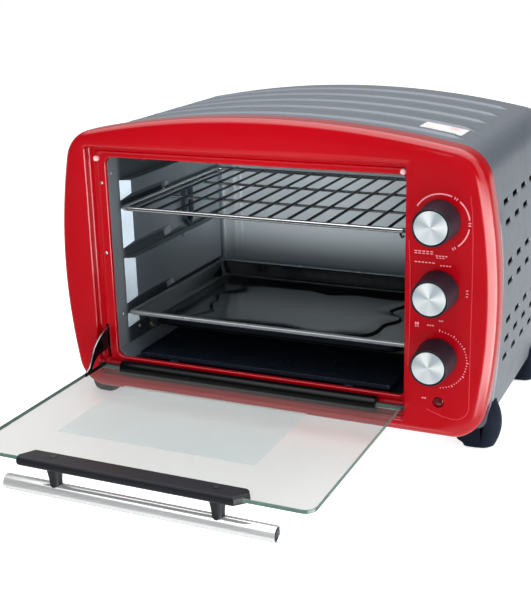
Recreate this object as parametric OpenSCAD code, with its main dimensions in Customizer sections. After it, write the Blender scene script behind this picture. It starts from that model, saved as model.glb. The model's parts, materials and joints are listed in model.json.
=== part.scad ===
// Countertop toaster oven with its glass door open.
// X runs along the front, left to right; Y runs from front to back; Z is up from the table.
// Y places inside the modules are measured from the front plane, the face that the cavity mouth opens in.

/* [Body] */
// Widest width of the front bezel
body_w = 478; // [460:1:500]
// Height of the crown of the bezel above the table
top_z = 325; // [320:1:340]
// Height of the lower edge of the bezel above the table
bottom_z = 20; // [18:0.5:23]
// Height at which the body is widest
side_z = 154; // [145:1:165]
// Radius of the bulging sides
side_r = 575; // [500:5:700]
// Radius of the arched top
arch_r = 1000; // [900:10:1200]
// Radius of the two upper corners
corner_top = 38; // [30:1:42]
// Radius of the two lower corners
corner_low = 32; // [26:1:36]
// Depth of the casing behind the front plane
casing_depth = 295; // [290:1:320]
// How far the casing is set in from the bezel
casing_inset = 3.5; // [3:0.1:4]
// Radius of the casing's sides below their widest height
casing_side_r = 900; // [800:50:1000]
// Radius of the casing's two lower corners
casing_corner = 15; // [15:0.5:18]
// Thickness of the steel sheet
sheet = 1; // [0.8:0.1:1]

/* [Bezel] */
// How far the bezel stands in front of the front plane
bezel_front = 10; // [9.5:0.5:11]
// How far the bezel reaches back over the casing
bezel_back = 18; // [16:0.5:18.5]
// Size of the sloped front edge
bezel_edge = 5; // [3:0.5:6]
// Wall of the bezel moulding
bezel_wall = 2.5; // [2:0.1:2.5]
// Left edge of the door recess
recess_left = -200; // [-202:0.5:-199.5]
// Right edge of the door recess, where the control panel starts
recess_right = 149.9; // [149.5:0.1:151]
// Upper edge of the door recess
recess_top = 289; // [289:0.5:292]

/* [Cavity] */
// Inner face of the left cavity wall
cavity_left = -181.2; // [-182:0.1:-181]
// Inner face of the right cavity wall
cavity_right = 153; // [152:0.1:154]
// Upper side of the cavity floor
cavity_floor_z = 50; // [49.5:0.1:50.5]
// Lower side of the cavity roof
cavity_roof_z = 286; // [284:1:288]
// Inner face of the back wall
cavity_back_y = 270; // [268:1:275]
// How far the pressed panels stand out of the side walls
panel_proud = 9.3; // [8:0.1:9.5]

/* [Door] */
// Hinge axis, distance behind the front plane
hinge_y = -6.5; // [-6.6:0.1:-6.4]
// Hinge axis, height above the table
hinge_z = 45.5; // [45.4:0.1:45.6]
// Thickness of the door glass
glass_t = 4; // [3.8:0.1:4]
// Front edge of the open glass
glass_reach = 240.9; // [235:0.1:242]
// Front edge of the handle plate
plate_reach = 247.5; // [245:0.5:248]
// Distance between the two handle posts
post_pitch = 165; // [140:1:180]
// Length of the handle tube
tube_len = 275; // [240:1:280]
// Outer radius of the handle tube
tube_r = 7.5; // [7:0.1:8]

/* [Controls] */
// Sideways place of the knobs
knob_x = 183.8; // [180:0.1:184.5]
// Height of the lowest knob
knob_low_z = 104.1; // [100:0.1:105]
// Distance between knobs
knob_pitch = 67.4; // [62:0.1:68]
// Radius of a knob at its front
knob_r = 18; // [16:0.1:18]
// Radius of a knob at its back
knob_back_r = 20; // [18.5:0.1:20]
// Front face of the knobs, in front of the front plane
knob_reach = 42; // [30:0.5:43]
// Radius of the control shafts
shaft_r = 3; // [2.9:0.1:3]

/* [Shelves] */
// Height of the rack's frame wire
rack_z = 219.3; // [219.2:0.1:220]
// Number of long rack wires
wire_count = 14; // [10:1:16]
// Top of the tray's rim
tray_z = 102.5; // [102.4:0.1:103]
// Depth of the tray below its rim
tray_deep = 18; // [14:0.5:19]

/* [Hidden] */
$fn = 48;

// The origin is under the middle of the oven with its door open.
rear_reach = casing_depth + 3;
front_y = (plate_reach - rear_reach) / 2;
fit_gap = 0.05;     // radial clearance of a running fit
clear = 1;          // clearance all round where a shaft passes a sheet

// Centres and meeting angles of the arcs of the front outline.
side_c = [body_w / 2 - side_r, side_z];
arch_c = [0, top_z - arch_r];
top_c = circles_meet(side_c, side_r - corner_top, arch_c, arch_r - corner_top);
bezel_low = lower_side(side_r, corner_low);
casing_low = lower_side(casing_side_r, casing_corner);
top_a = bearing(side_c, top_c);
arch_a = bearing(arch_c, top_c);

// Door recess, cavity mouth and the cavity's own box.
recess_x = [recess_left, recess_right];
recess_z = [36, recess_top];
mouth_x = [cavity_left, recess_right];
mouth_z = [55, 277.2];
cavity_x = [cavity_left, cavity_right];
cavity_y = [4.5, cavity_back_y];
cavity_z = [cavity_floor_z, cavity_roof_z];
cavity_mid = (cavity_left + cavity_right) / 2;
edge_steps = 4;     // steps that round the bezel's front edge

// Pressed wall panels, each as its lower and upper edge: rack and tray run in the gaps between them.
panels = [[86.4, 96.8], [112.2, 160.6], [167.2, 216.5], [228.8, 247.5]];
panel_y = [25.3, 253];

// Heating rods, as places in Y.
heater_y = [80, 190];
heater_top_z = 267;
heater_low_z = 71;
heater_r = 3.3;

// Rotisserie axis.
spit_y = 154;
spit_z = 180;

// Door parts.
trough_r = 8.6;
rail_r = 8;
rail_x = [-172, 122];
rod_r = 2.5;
door_mid = (recess_left + recess_right) / 2;
glass_x = [recess_left + 1.5, recess_right - 2];
glass_z = [hinge_z + 1.8 - glass_t, hinge_z + 1.8];
glass_grip = 3;     // how far the glass ends in front of the hinge axis
post_x = [door_mid - post_pitch / 2, door_mid + post_pitch / 2];
plate_half = 115.5;
plate_y = [-plate_reach, 21.5 - plate_reach];
plate_skin = 2.5;
post_y = -234;
post_r = 6.5;
tube_y = -233;
tube_z = 15.4;
arm_x = [-192.6, -190.6];
arm_r = [33, 45];

// Knob heights, top to bottom: thermostat, selector, timer.
knob_z = [for (i = [2:-1:0]) knob_low_z + i * knob_pitch];
neck_r = 4.8;
bracket_y = [6, 7.2];
control_x = [160, 223.2];
lamp_x = 185.6;
lamp_z = 57.8;

// Shelves.
rack_x = [-176, 145.4];
rack_y = [16.5, 250];
rack_r = 2.5;
rack_wire_r = 1.5;
rack_bend = 10;
rack_pitch = (rack_x[1] - rack_x[0]) / (wire_count + 1);
wire_z = rack_z + 0.6;
tray_x = [-178, 147.4];
tray_y = [20, 252];
tray_rim = 5;

// Casing details.
rib_y = [for (i = [0:4]) 57 + 49.5 * i];
rib_x = [-186, 186];
rib_half = 7;
label_y = [66, 98];
vent_z = [for (row = [0, 1, 3, 4, 6, 7, 8]) 244.6 - 19.8 * row];
vent_y = [for (i = [0:5]) 64 + 39 * i];
vent = [20, 5];
screw_r = 1.7;
screw_head_r = 3.4;
screw_inset = 9;
back_screw_xz = concat([[0, top_z - screw_inset]],
  [for (side = [-1, 1], z = [70, 240]) [side * side_at(z, screw_inset), z]]);
casing_z = bottom_z + casing_inset;
flare_y = 18.3;
foot_y = [[19.6, 57], [214, 251.4]];
foot_c = [190.3, 22];
foot_r = 46.7;
foot_bend = 14;
foot_x0 = 192;
flange_x0 = 184;
flange = 3;
foot_screw_x = 188;

// ---------- helpers ----------

function bearing(from, to) = atan2(to.y - from.y, to.x - from.x);

// Of the two points that two circles share, the one on the upper right.
function circles_meet(c1, r1, c2, r2) =
  let (d = norm(c2 - c1))
  let (u = (c2 - c1) / d)
  let (t = (r1 * r1 - r2 * r2 + d * d) / (2 * d))
  c1 + u * t + [-u.y, u.x] * sqrt(r1 * r1 - t * t);

// Points along an arc, without its last one.
function arc(c, r, a0, a1, n) = [for (i = [0:n - 1]) let (a = a0 + (a1 - a0) * i / n) c + r * [cos(a), sin(a)]];

function flip(points) = [for (i = [len(points) - 1:-1:0]) [-points[i].x, points[i].y]];

// Lower part of a side: its centre and radius, the corner's centre and radius, and the angle where they meet.
function lower_side(r, corner) =
  let (c = [body_w / 2 - r, side_z])
  let (z = bottom_z + corner)
  let (k = [c.x + sqrt(pow(r - corner, 2) - pow(z - side_z, 2)), z])
  [c, r, k, corner, bearing(c, k)];

// Right half of the front outline, from the flat bottom up to just short of the crown.
function half_outline(inset, low) = concat(
  arc(low[2], low[3] - inset, -90, low[4], 8),
  arc(low[0], low[1] - inset, low[4], 0, 12),
  arc(side_c, side_r - inset, 0, top_a, 12),
  arc(top_c, corner_top - inset, top_a, arch_a, 10),
  arc(arch_c, arch_r - inset, arch_a, 90, 20));

function crown(inset) = [[0, top_z - inset]];

// The front outline of the body, set in by a distance.
module outline(inset = 0, low = bezel_low) {
  polygon(concat(half_outline(inset, low), crown(inset), flip(half_outline(inset, low))));
}

// Half-width of the body at a height, set in by a distance.
function side_at(z, inset) = side_c.x + sqrt(pow(side_r - inset, 2) - pow(z - side_z, 2));

// A band along the arched top between two radii and two X places.
module arch_band(low, high, x) {
  n = 24;
  a = [acos(x[1] / low), acos(x[0] / low)];
  inner = [for (i = [0:n]) let (t = a[0] + (a[1] - a[0]) * i / n) arch_c + low * [cos(t), sin(t)]];
  outer = [for (i = [n:-1:0]) let (t = a[0] + (a[1] - a[0]) * i / n) arch_c + high * [cos(t), sin(t)]];
  polygon(concat(inner, outer));
}

// A rectangle with round corners, between two pairs of limits.
module rounded(x, y, r) {
  polygon(concat(
    arc([x[1] - r, y[1] - r], r, 0, 90, 8), arc([x[0] + r, y[1] - r], r, 90, 180, 8),
    arc([x[0] + r, y[0] + r], r, 180, 270, 8), arc([x[1] - r, y[0] + r], r, 270, 360, 8)));
}

// A straight box between pairs of limits.
module block(x, y, z) {
  translate([x[0], front_y + y[0], z[0]]) cube([x[1] - x[0], y[1] - y[0], z[1] - z[0]]);
}

module rod_x(x, y, z, r) {
  translate([x[0], front_y + y, z]) rotate([0, 90, 0]) cylinder(h = x[1] - x[0], r = r);
}

module rod_y(x, y, z, r) {
  translate([x, front_y + y[0], z]) rotate([-90, 0, 0]) cylinder(h = y[1] - y[0], r = r);
}

module rod_z(x, y, z, r) {
  translate([x, front_y + y, z[0]]) cylinder(h = z[1] - z[0], r = r);
}

// How far the front steps back at each of the steps that round its edge.
function edge_fall(i) = bezel_edge * (1 - sqrt(1 - pow(i / edge_steps, 2)));

// A flat outline in X and Z, extruded between two Y places.
module slab(y) {
  translate([0, front_y + y[1], 0]) rotate([90, 0, 0]) linear_extrude(y[1] - y[0]) children();
}

// A profile in Y and Z, extruded between two X places.
module strip(x) {
  translate([x[0], front_y, 0]) rotate([90, 0, 90]) linear_extrude(x[1] - x[0]) children();
}

// A plan outline in X and Y, extruded between two heights.
module plan(z) {
  translate([0, front_y, z[0]]) linear_extrude(z[1] - z[0]) children();
}

function grow(span, by) = [span[0] - by, span[1] + by];

// ---------- casing ----------

module front_bezel() color("#c00818") difference() {
  union() {
    difference() {
      union() {
        for (i = [0:edge_steps])
          slab([edge_fall(i) - bezel_front, bezel_back]) outline(bezel_edge * (1 - i / edge_steps));
      }
      slab([bezel_wall - bezel_front, bezel_back + 1]) outline(bezel_wall);
    }
    block(grow(recess_x, 2), [-bezel_front + 1, 2], grow(recess_z, 2));
    block(grow(recess_x, 2), [0, 4.3], [recess_z[0] - 2, mouth_z[0]]);
  }
  block(recess_x, [-bezel_front - 1, 0], recess_z);
  slab([-1, 5]) rounded(mouth_x, mouth_z, 8);
  rod_x(recess_x, hinge_y, hinge_z, trough_r);
  rod_x(grow(recess_x, 3), hinge_y, hinge_z, rod_r + fit_gap);
  block([arm_x[0] - 1.2, arm_x[1] + 1.2], [-1, 5], [52, 92]);
  for (z = knob_z) rod_y(knob_x, [-bezel_front - 1, 0], z, shaft_r + clear);
  rod_y(lamp_x, [-bezel_front - 1, 0], lamp_z, 5.5);
}

module outer_wrap() color("#8d9297") {
  skin = casing_inset + sheet;
  difference() {
    union() {
      difference() {
        slab([12, flare_y + sheet]) outline(casing_inset);
        slab([11, flare_y + sheet + 1]) outline(skin);
      }
      slab([flare_y, flare_y + sheet]) difference() {
        outline(casing_inset, casing_low);
        outline(skin);
      }
      difference() {
        slab([flare_y, casing_depth]) outline(casing_inset, casing_low);
        slab([flare_y - 1, casing_depth + 1]) outline(skin, casing_low);
      }
      slab([casing_depth - 3, casing_depth - 2]) difference() {
        outline(casing_inset + 0.5, casing_low);
        outline(14, casing_low);
      }
      for (y = rib_y) {
        slab([y - rib_half, y + rib_half]) arch_band(arch_r - skin + 0.2, arch_r - casing_inset + 1, rib_x);
        slab([y - rib_half + 3, y + rib_half - 3])
          arch_band(arch_r - skin + 0.2, arch_r - casing_inset + 2, grow(rib_x, -5));
      }
    }
    block([-190, 190], [11, casing_depth + 1], [bottom_z - 3, bottom_z + 17]);
    for (y = vent_y, z = vent_z)
      block([-body_w / 2, body_w / 2], [y - vent[0] / 2, y + vent[0] / 2], [z - vent[1] / 2, z + vent[1] / 2]);
    for (p = back_screw_xz) rod_y(p.x, [casing_depth - 4, casing_depth], p.y, screw_r + 0.1);
    foot_screw_holes([casing_z - 6, casing_z + 4]);
  }
}

module back_panel() color("#7f8489") difference() {
  slab([casing_depth - 2, casing_depth - 1]) outline(casing_inset + sheet + 0.1, casing_low);
  for (x = [-120:30:120], z = [210, 240])
    block([x - 10, x + 10], [casing_depth - 3, casing_depth], [z - 2.5, z + 2.5]);
  for (z = [80:14:150])
    block([165, 205], [casing_depth - 3, casing_depth], [z - 2, z + 2]);
  for (p = back_screw_xz) rod_y(p.x, [casing_depth - 3, casing_depth], p.y, screw_r + 0.1);
  rod_y(185, [casing_depth - 3, casing_depth], 55, 9.1);
}

module base_panel() color("#7a7f84") difference() {
  base_z = [casing_z + sheet + 0.1, casing_z + 2 * sheet + 0.1];
  block([-202, 202], [flare_y + 2, casing_depth - 3.5], base_z);
  for (x = [-120:24:120], y = [90, 200]) block([x - 3, x + 3], [y - 22, y + 22], grow(base_z, 1));
  foot_screw_holes(grow(base_z, 1));
}

module back_screws() color("#c8ccd0") for (p = back_screw_xz) {
  rod_y(p.x, [casing_depth - 12, casing_depth - 1], p.y, screw_r);
  rod_y(p.x, [casing_depth - 1, casing_depth + 0.8], p.y, screw_head_r);
}

module top_label() color("#e8e6e2")
  slab(label_y) arch_band(arch_r - casing_inset + 0.05, arch_r - casing_inset + 0.35, [139, 182]);

// ---------- feet ----------

module foot_screw_holes(z) {
  for (x = [-foot_screw_x, foot_screw_x], y = foot_y)
    rod_z(x, (y[0] + y[1]) / 2, z, screw_r + 0.1);
}

// One corner foot: side is 1 on the right and -1 on the left.
module foot(side, y) color("#1e232b") mirror([side < 0 ? 1 : 0, 0, 0]) difference() {
  flange_z = casing_z - 0.1 - flange;
  intersection() {
    slab(y) difference() {
      union() {
        intersection() {
          translate(foot_c) circle(r = foot_r);
          polygon([[foot_x0 + 12, 0], [240, 0], [240, 60], [foot_x0, 60], [foot_x0, flange_z], [foot_x0 + 5, 9]]);
        }
        translate([flange_x0, flange_z]) square([foot_x0 - flange_x0 + 1, flange]);
      }
      outline(casing_inset - 0.1, casing_low);
    }
    plan([-1, 61]) rounded([flange_x0, foot_c.x + foot_r], y, foot_bend);
  }
  rod_z(foot_screw_x, (y[0] + y[1]) / 2, [flange_z - 8, casing_z], screw_r + 0.1);
}

module foot_screws() color("#b9bdc2") for (x = [-foot_screw_x, foot_screw_x], y = foot_y) {
  head_z = casing_z - 0.1 - flange;
  rod_z(x, (y[0] + y[1]) / 2, [head_z, head_z + 8], screw_r);
  rod_z(x, (y[0] + y[1]) / 2, [head_z - 2, head_z], screw_head_r);
}

// ---------- cavity ----------

// One pressed panel seen from above, standing out of the left wall.
module panel_plan(set_back) {
  x0 = cavity_left - (set_back > 0 ? sheet + 1 : 0);
  x1 = cavity_left + panel_proud - set_back;
  run = x1 - cavity_left;
  polygon([
    [x0, panel_y[0] + set_back], [cavity_left, panel_y[0] + set_back],
    [x1, panel_y[0] + set_back + run], [x1, panel_y[1] - set_back - run],
    [cavity_left, panel_y[1] - set_back], [x0, panel_y[1] - set_back]]);
}

module side_wall() difference() {
  union() {
    block([cavity_left - sheet, cavity_left], cavity_y, cavity_z);
    for (p = panels) plan(p) panel_plan(0);
  }
  for (p = panels) plan(grow(p, -sheet)) panel_plan(sheet);
  for (y = heater_y, z = [heater_top_z, heater_low_z])
    rod_x([cavity_left - 3, cavity_left + 3], y, z, 7.05);
}

module cavity_left_wall() color("#7b848c") side_wall();

module cavity_right_wall() color("#7b848c") difference() {
  translate([2 * cavity_mid, 0, 0]) mirror([1, 0, 0]) side_wall();
  rod_x([cavity_right - 12, cavity_right + 3], spit_y, spit_z, 7.5);
}

module cavity_back_wall() color("#7f8990") {
  block(grow(cavity_x, sheet), [cavity_back_y, cavity_back_y + sheet], cavity_z);
  for (side = [0, 1]) translate([side * 2 * cavity_mid, 0, 0]) mirror([side, 0, 0])
    plan(grow(cavity_z, -0.5)) polygon([
      [cavity_left + 0.1, 254], [cavity_left + 10, 254], [cavity_left + 19.5, 270.5],
      [cavity_left + 18.3, 270.5], [cavity_left + 9.4, 255], [cavity_left + 0.1, 255]]);
}

module cavity_roof() color("#7b848c")
  block(grow(cavity_x, sheet), cavity_y, [cavity_roof_z, cavity_roof_z + sheet]);

module cavity_floor() color("#5d666e") {
  block(grow(cavity_x, sheet), cavity_y, [cavity_floor_z - sheet, cavity_floor_z]);
  for (x = [-120, 82]) block([x, x + 10], [8, 262], [cavity_floor_z - 0.5, cavity_floor_z + 5]);
  for (side = [0, 1]) translate([side * 2 * cavity_mid, 0, 0]) mirror([side, 0, 0])
    slab([6, 252]) polygon([
      [cavity_left + 0.2, 62], [cavity_left + 12.2, 50], [cavity_left + 12.2, 49.5],
      [cavity_left + 10.8, 49.5], [cavity_left + 0.2, 60.5]]);
}

module upper_heaters() color("#b9b6ae") for (y = heater_y)
  rod_x([cavity_left - 14, cavity_right + 4], y, heater_top_z, heater_r);

module lower_heaters() color("#b9b6ae") for (y = heater_y)
  rod_x([cavity_left - 14, cavity_right + 4], y, heater_low_z, heater_r);

module heater_insulators() color("#e9e4d8") for (y = heater_y, z = [heater_top_z, heater_low_z])
  for (x = [[cavity_left - 9, cavity_left + 3], [cavity_right - 3, cavity_right + 5]])
    difference() {
      rod_x(x, y, z, 7);
      rod_x(grow(x, 1), y, z, heater_r + 0.02);
    }

module spit_bracket() color("#8d949a") {
  x = [cavity_left + panel_proud, cavity_left + panel_proud + 6];
  strip(x) difference() {
    polygon([[spit_y - 10, 213], [spit_y + 10, 213], [spit_y + 10, 178], [spit_y, 169], [spit_y - 10, 178]]);
    polygon([[spit_y - 7, 214], [spit_y + 7, 214], [spit_y + 7, 181], [spit_y, 174.5], [spit_y - 7, 181]]);
  }
}

module spit_socket() color("#9aa0a5") difference() {
  union() {
    rod_x([cavity_right - 13, cavity_right + 14], spit_y, spit_z, 5);
    rod_x([cavity_right - 13, cavity_right - 1], spit_y, spit_z, 6.5);
  }
  block([cavity_right - 14, cavity_right - 3], [spit_y - 2.6, spit_y + 2.6], [spit_z - 2.6, spit_z + 2.6]);
}

module spit_motor() color("#6f7579") difference() {
  union() {
    block([161.2, 184], [spit_y - 24, spit_y + 24], [spit_z - 24, spit_z + 24]);
    rod_x([184, 192], spit_y + 8, spit_z, 12);
  }
  rod_x([161, cavity_right + 14.5], spit_y, spit_z, 5 + fit_gap);
}

module heat_shield() color("#9aa1a6") difference() {
  block([cavity_right + 7.2, cavity_right + 8.2], [26, 270], [40, 284]);
  rod_x([cavity_right + 6, cavity_right + 9], spit_y, spit_z, 7);
}

// ---------- controls ----------

module control_bracket() color("#a3a8ac") difference() {
  union() {
    block(control_x, bracket_y, [70, 262]);
    block(control_x, [bracket_y[0], 24], [262, 263.2]);
  }
  for (z = knob_z) rod_y(knob_x, grow(bracket_y, 1), z, neck_r + 0.1);
}

// Body of one control with its threaded neck and shaft bore.
module control_body(i, size, tint) color(tint) difference() {
  union() {
    block([knob_x - size.x / 2, knob_x + size.x / 2], [bracket_y[1], bracket_y[1] + size.y],
      [knob_z[i] - size.z / 2, knob_z[i] + size.z / 2]);
    rod_y(knob_x, [bracket_y[0] - 3.5, bracket_y[1] + 1], knob_z[i], neck_r);
  }
  rod_y(knob_x, [bracket_y[0] - 5, bracket_y[1] + 12], knob_z[i], shaft_r + fit_gap);
}

module thermostat_body() control_body(0, [34, 26, 30], "#d8d2c2");

module selector_body() control_body(1, [36, 30, 34], "#b9772f");

module timer_body() control_body(2, [38, 34, 44], "#9fa5a9");

module control_nuts() color("#c9a24a") for (z = knob_z) difference() {
  translate([knob_x, front_y + bracket_y[0] - 2.6, z]) rotate([-90, 0, 0]) cylinder(h = 2.5, r = 7.5, $fn = 6);
  rod_y(knob_x, [bracket_y[0] - 4, bracket_y[0] + 1], z, neck_r + 0.02);
}

module shaft(i) color("#c4c8cb") rod_y(knob_x, [-knob_reach + 8, bracket_y[1] + 11], knob_z[i], shaft_r);

module knob(i) color("#3d3945") difference() {
  translate([knob_x, front_y - knob_reach, knob_z[i]]) rotate([-90, 0, 0]) rotate_extrude() polygon([
    [0, 1], [knob_r - 1.6, 1], [knob_r - 1.6, 0.4], [knob_r - 1, 0], [knob_r - 0.4, 0.4],
    [knob_r, 1.6], [knob_back_r, knob_reach - bezel_front - 0.8], [0, knob_reach - bezel_front - 0.8]]);
  rod_y(knob_x, [-knob_reach + 8, 0], knob_z[i], shaft_r + 0.02);
}

module knob_cap(i) color("#ccd3d6")
  rod_y(knob_x, [-knob_reach + 0.3, -knob_reach + 1], knob_z[i], knob_r - 1.7);

module indicator_lens() color("#7a0d12") {
  rod_y(lamp_x, [-bezel_front + 1.2, bezel_wall - bezel_front + 0.2], lamp_z, 5.2);
  rod_y(lamp_x, [bezel_wall - bezel_front + 0.1, bezel_wall - bezel_front + 1.3], lamp_z, 7);
}

module indicator_lamp() color("#d8a070")
  rod_y(lamp_x, [bezel_wall - bezel_front + 1.5, 14], lamp_z, 3);

module terminal_block() color("#e6e3da") difference() {
  block([170, 200], [262, 282], [70, 84]);
  for (x = [177.5, 192.5]) rod_y(x, [260, 284], 77, 2);
}

module cord_bushing() color("#22252a") difference() {
  union() {
    rod_y(185, [casing_depth - 8, casing_depth + 1], 55, 9);
    rod_y(185, [casing_depth - 1, casing_depth + 3], 55, 12);
  }
  rod_y(185, [casing_depth - 9, casing_depth + 4], 55, 4);
}

module door_bumpers() color("#e6b9bd") {
  rod_y(-190.5, [-4.3, 0], 275.7, 3);
  rod_y(145.5, [-4.3, 0], 280.6, 3);
}

// ---------- door ----------

module door_glass() color("#cfe3dd", 0.4) {
  y = [-glass_reach, hinge_y - glass_grip];
  difference() {
    plan(glass_z) polygon(concat(
      [[glass_x[1], y[1]], [glass_x[0], y[1]]],
      arc([glass_x[0] + 10, y[0] + 10], 10, 180, 270, 8),
      arc([glass_x[1] - 10, y[0] + 10], 10, 270, 360, 8), [[glass_x[1], y[0] + 10]]));
    for (x = post_x) rod_z(x, post_y, grow(glass_z, 1), screw_r + clear);
  }
}

module door_film() color("#dfe6e2", 0.5)
  block([-139, 68], [-181, -62], [glass_z[1], glass_z[1] + 0.2]);

module door_rail() color("#15181c") difference() {
  rod_x(rail_x, hinge_y, hinge_z, rail_r);
  block(grow(rail_x, 1), [-40, hinge_y - glass_grip], glass_z);
  rod_x(grow(rail_x, 1), hinge_y, hinge_z, rod_r + 0.02);
}

module hinge_rod() color("#b4b9bd") rod_x(grow(recess_x, 2), hinge_y, hinge_z, rod_r);

// Curved stop arm: a sector about the hinge axis with a foot on the glass.
module hinge_arm() color("#23272e") strip(arm_x) translate([hinge_y, hinge_z]) {
  lift = glass_z[1] - hinge_z;
  difference() {
    circle(r = arm_r[1], $fn = 120);
    circle(r = arm_r[0], $fn = 120);
    translate([-60, lift - 60]) square([60, 60]);
    polygon([[0, 0], [60 * tan(15), 60], [120, 60], [120, -60], [0, -60]]);
  }
  translate([-arm_r[1] + 0.4, lift]) square([arm_r[1] - 0.4 - glass_grip, 3.6]);
}

module handle_plate() color("#202227") difference() {
  plan([glass_z[0] - plate_skin, glass_z[1] + plate_skin])
    rounded([door_mid - plate_half - 1, door_mid + plate_half - 1], plate_y, 6);
  block([-300, 300], [-glass_reach - 0.05, 0], glass_z);
  for (x = post_x) {
    rod_z(x, post_y, grow(glass_z, 5), screw_r + 0.1);
    rod_z(x, post_y, [glass_z[1] + plate_skin - 1.2, glass_z[1] + plate_skin + 1], 3.6);
  }
}

module handle_posts() color("#17191d") for (x = post_x) difference() {
  translate([x, front_y + post_y, tube_z])
    cylinder(h = glass_z[0] - plate_skin - tube_z, r1 = post_r - 1, r2 = post_r + 1.5);
  rod_x([-300, 300], tube_y, tube_z, tube_r + 0.02);
  rod_z(x, post_y, [glass_z[0] - plate_skin - 12, glass_z[1]], screw_r + 0.02);
}

module handle_tube() color("#d2d6d8") difference() {
  rod_x([door_mid - tube_len / 2, door_mid + tube_len / 2], tube_y, tube_z, tube_r);
  rod_x([door_mid - tube_len / 2 - 1, door_mid + tube_len / 2 + 1], tube_y, tube_z, tube_r - 1);
}

module handle_end_caps() color("#2a2c30") for (side = [-1, 1]) {
  x = door_mid + side * (tube_len / 2 - 6);
  rod_x([x - 5, x + 5], tube_y, tube_z, tube_r - 1);
}

module handle_screws() color("#8b8f93") for (x = post_x) {
  rod_z(x, post_y, [glass_z[0] - plate_skin - 11, glass_z[1] + plate_skin - 1], screw_r);
  rod_z(x, post_y, [glass_z[1] + plate_skin - 1.15, glass_z[1] + plate_skin + 0.3], screw_head_r);
}

// ---------- shelves ----------

// A quarter bend of round wire about a centre, starting at an angle.
module bend(c, z, start, turn_r, r) {
  translate([c.x, front_y + c.y, z]) rotate([0, 0, start]) rotate_extrude(angle = 90) translate([turn_r, 0]) circle(r = r);
}

module rack_frame() color("#b3b9bd") difference() {
  rack_ring();
  rack_wires();
}

module rack_ring() {
  x = grow(rack_x, -rack_bend);
  y = grow(rack_y, -rack_bend);
  for (at = rack_y) rod_x(x, at, rack_z, rack_r);
  for (at = rack_x) rod_y(at, y, rack_z, rack_r);
  bend([x[1], y[1]], rack_z, 0, rack_bend, rack_r);
  bend([x[0], y[1]], rack_z, 90, rack_bend, rack_r);
  bend([x[0], y[0]], rack_z, 180, rack_bend, rack_r);
  bend([x[1], y[0]], rack_z, 270, rack_bend, rack_r);
}

// The long wires end inside the two bars of the frame.
module rack_wires() color("#c3c8cb")
  for (i = [1:wire_count]) rod_y(rack_x[0] + i * rack_pitch, rack_y, wire_z, rack_wire_r);

// The cross wires lie under the long ones, and end short of the side walls' panels.
module rack_cross_wires() color("#a3a9ad") difference() {
  reach = [rack_x[0] + rack_pitch - 2.4, rack_x[1] - rack_pitch + 2.4];
  for (at = [96, 176]) rod_x(reach, at, wire_z - 2 * rack_wire_r + 0.1, rack_wire_r);
  rack_wires();
}

module baking_tray() color("#121417") difference() {
  floor_z = tray_z - tray_deep;
  union() {
    plan([tray_z - tray_rim, tray_z]) rounded(tray_x, tray_y, 12);
    plan([floor_z, tray_z - 1]) rounded(grow(tray_x, -9), grow(tray_y, -9), 14);
  }
  plan([floor_z + 1, tray_z + 1]) rounded(grow(tray_x, -10), grow(tray_y, -10), 13);
  difference() {
    plan([tray_z - tray_rim - 1, tray_z - 1]) rounded(grow(tray_x, -1), grow(tray_y, -1), 11);
    plan([tray_z - tray_rim - 2, tray_z]) rounded(grow(tray_x, -9), grow(tray_y, -9), 14);
  }
}

module crumb_tray() color("#7d858b") {
  x = [-158, 130];
  block(x, [10, 262], [55.4, 56.2]);
  block(x, [9, 10], [55.4, 60]);
  block(x, [261.2, 262], [55.4, 60]);
  for (side = x) block([side - 0.4, side + 0.4], [9, 262], [55.4, 60]);
}

front_bezel();
outer_wrap();
back_panel();
base_panel();
cavity_left_wall();
cavity_right_wall();
cavity_back_wall();
cavity_roof();
cavity_floor();
heat_shield();
control_bracket();
upper_heaters();
lower_heaters();
heater_insulators();
thermostat_body();
selector_body();
timer_body();
control_nuts();
indicator_lens();
indicator_lamp();
spit_bracket();
spit_motor();
spit_socket();
terminal_block();
cord_bushing();
door_bumpers();
back_screws();
top_label();
foot(-1, foot_y[0]);  // foot_front_left
foot(1, foot_y[0]);  // foot_front_right
foot(-1, foot_y[1]);  // foot_rear_left
foot(1, foot_y[1]);  // foot_rear_right
foot_screws();
door_glass();
door_rail();
hinge_rod();
hinge_arm();
handle_plate();
handle_posts();
handle_tube();
handle_end_caps();
handle_screws();
door_film();
knob(0);  // knob_thermostat
knob_cap(0);  // knob_cap_thermostat
shaft(0);  // shaft_thermostat
knob(1);  // knob_selector
knob_cap(1);  // knob_cap_selector
shaft(1);  // shaft_selector
knob(2);  // knob_timer
knob_cap(2);  // knob_cap_timer
shaft(2);  // shaft_timer
rack_frame();
rack_wires();
rack_cross_wires();
baking_tray();
crumb_tray();
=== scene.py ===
"""Looks of the toaster oven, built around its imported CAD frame.

Lengths are millimetres in the CAD frame's axes, except that Y is measured from the front plane, the face
that the mouth of the cavity opens in. at() turns such a place into metres in the shared frame.
"""
import json
from math import atan, atan2, cos, hypot, pi, radians, sin, sqrt

import bmesh
import bpy
from mathutils import Matrix, Vector


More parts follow.
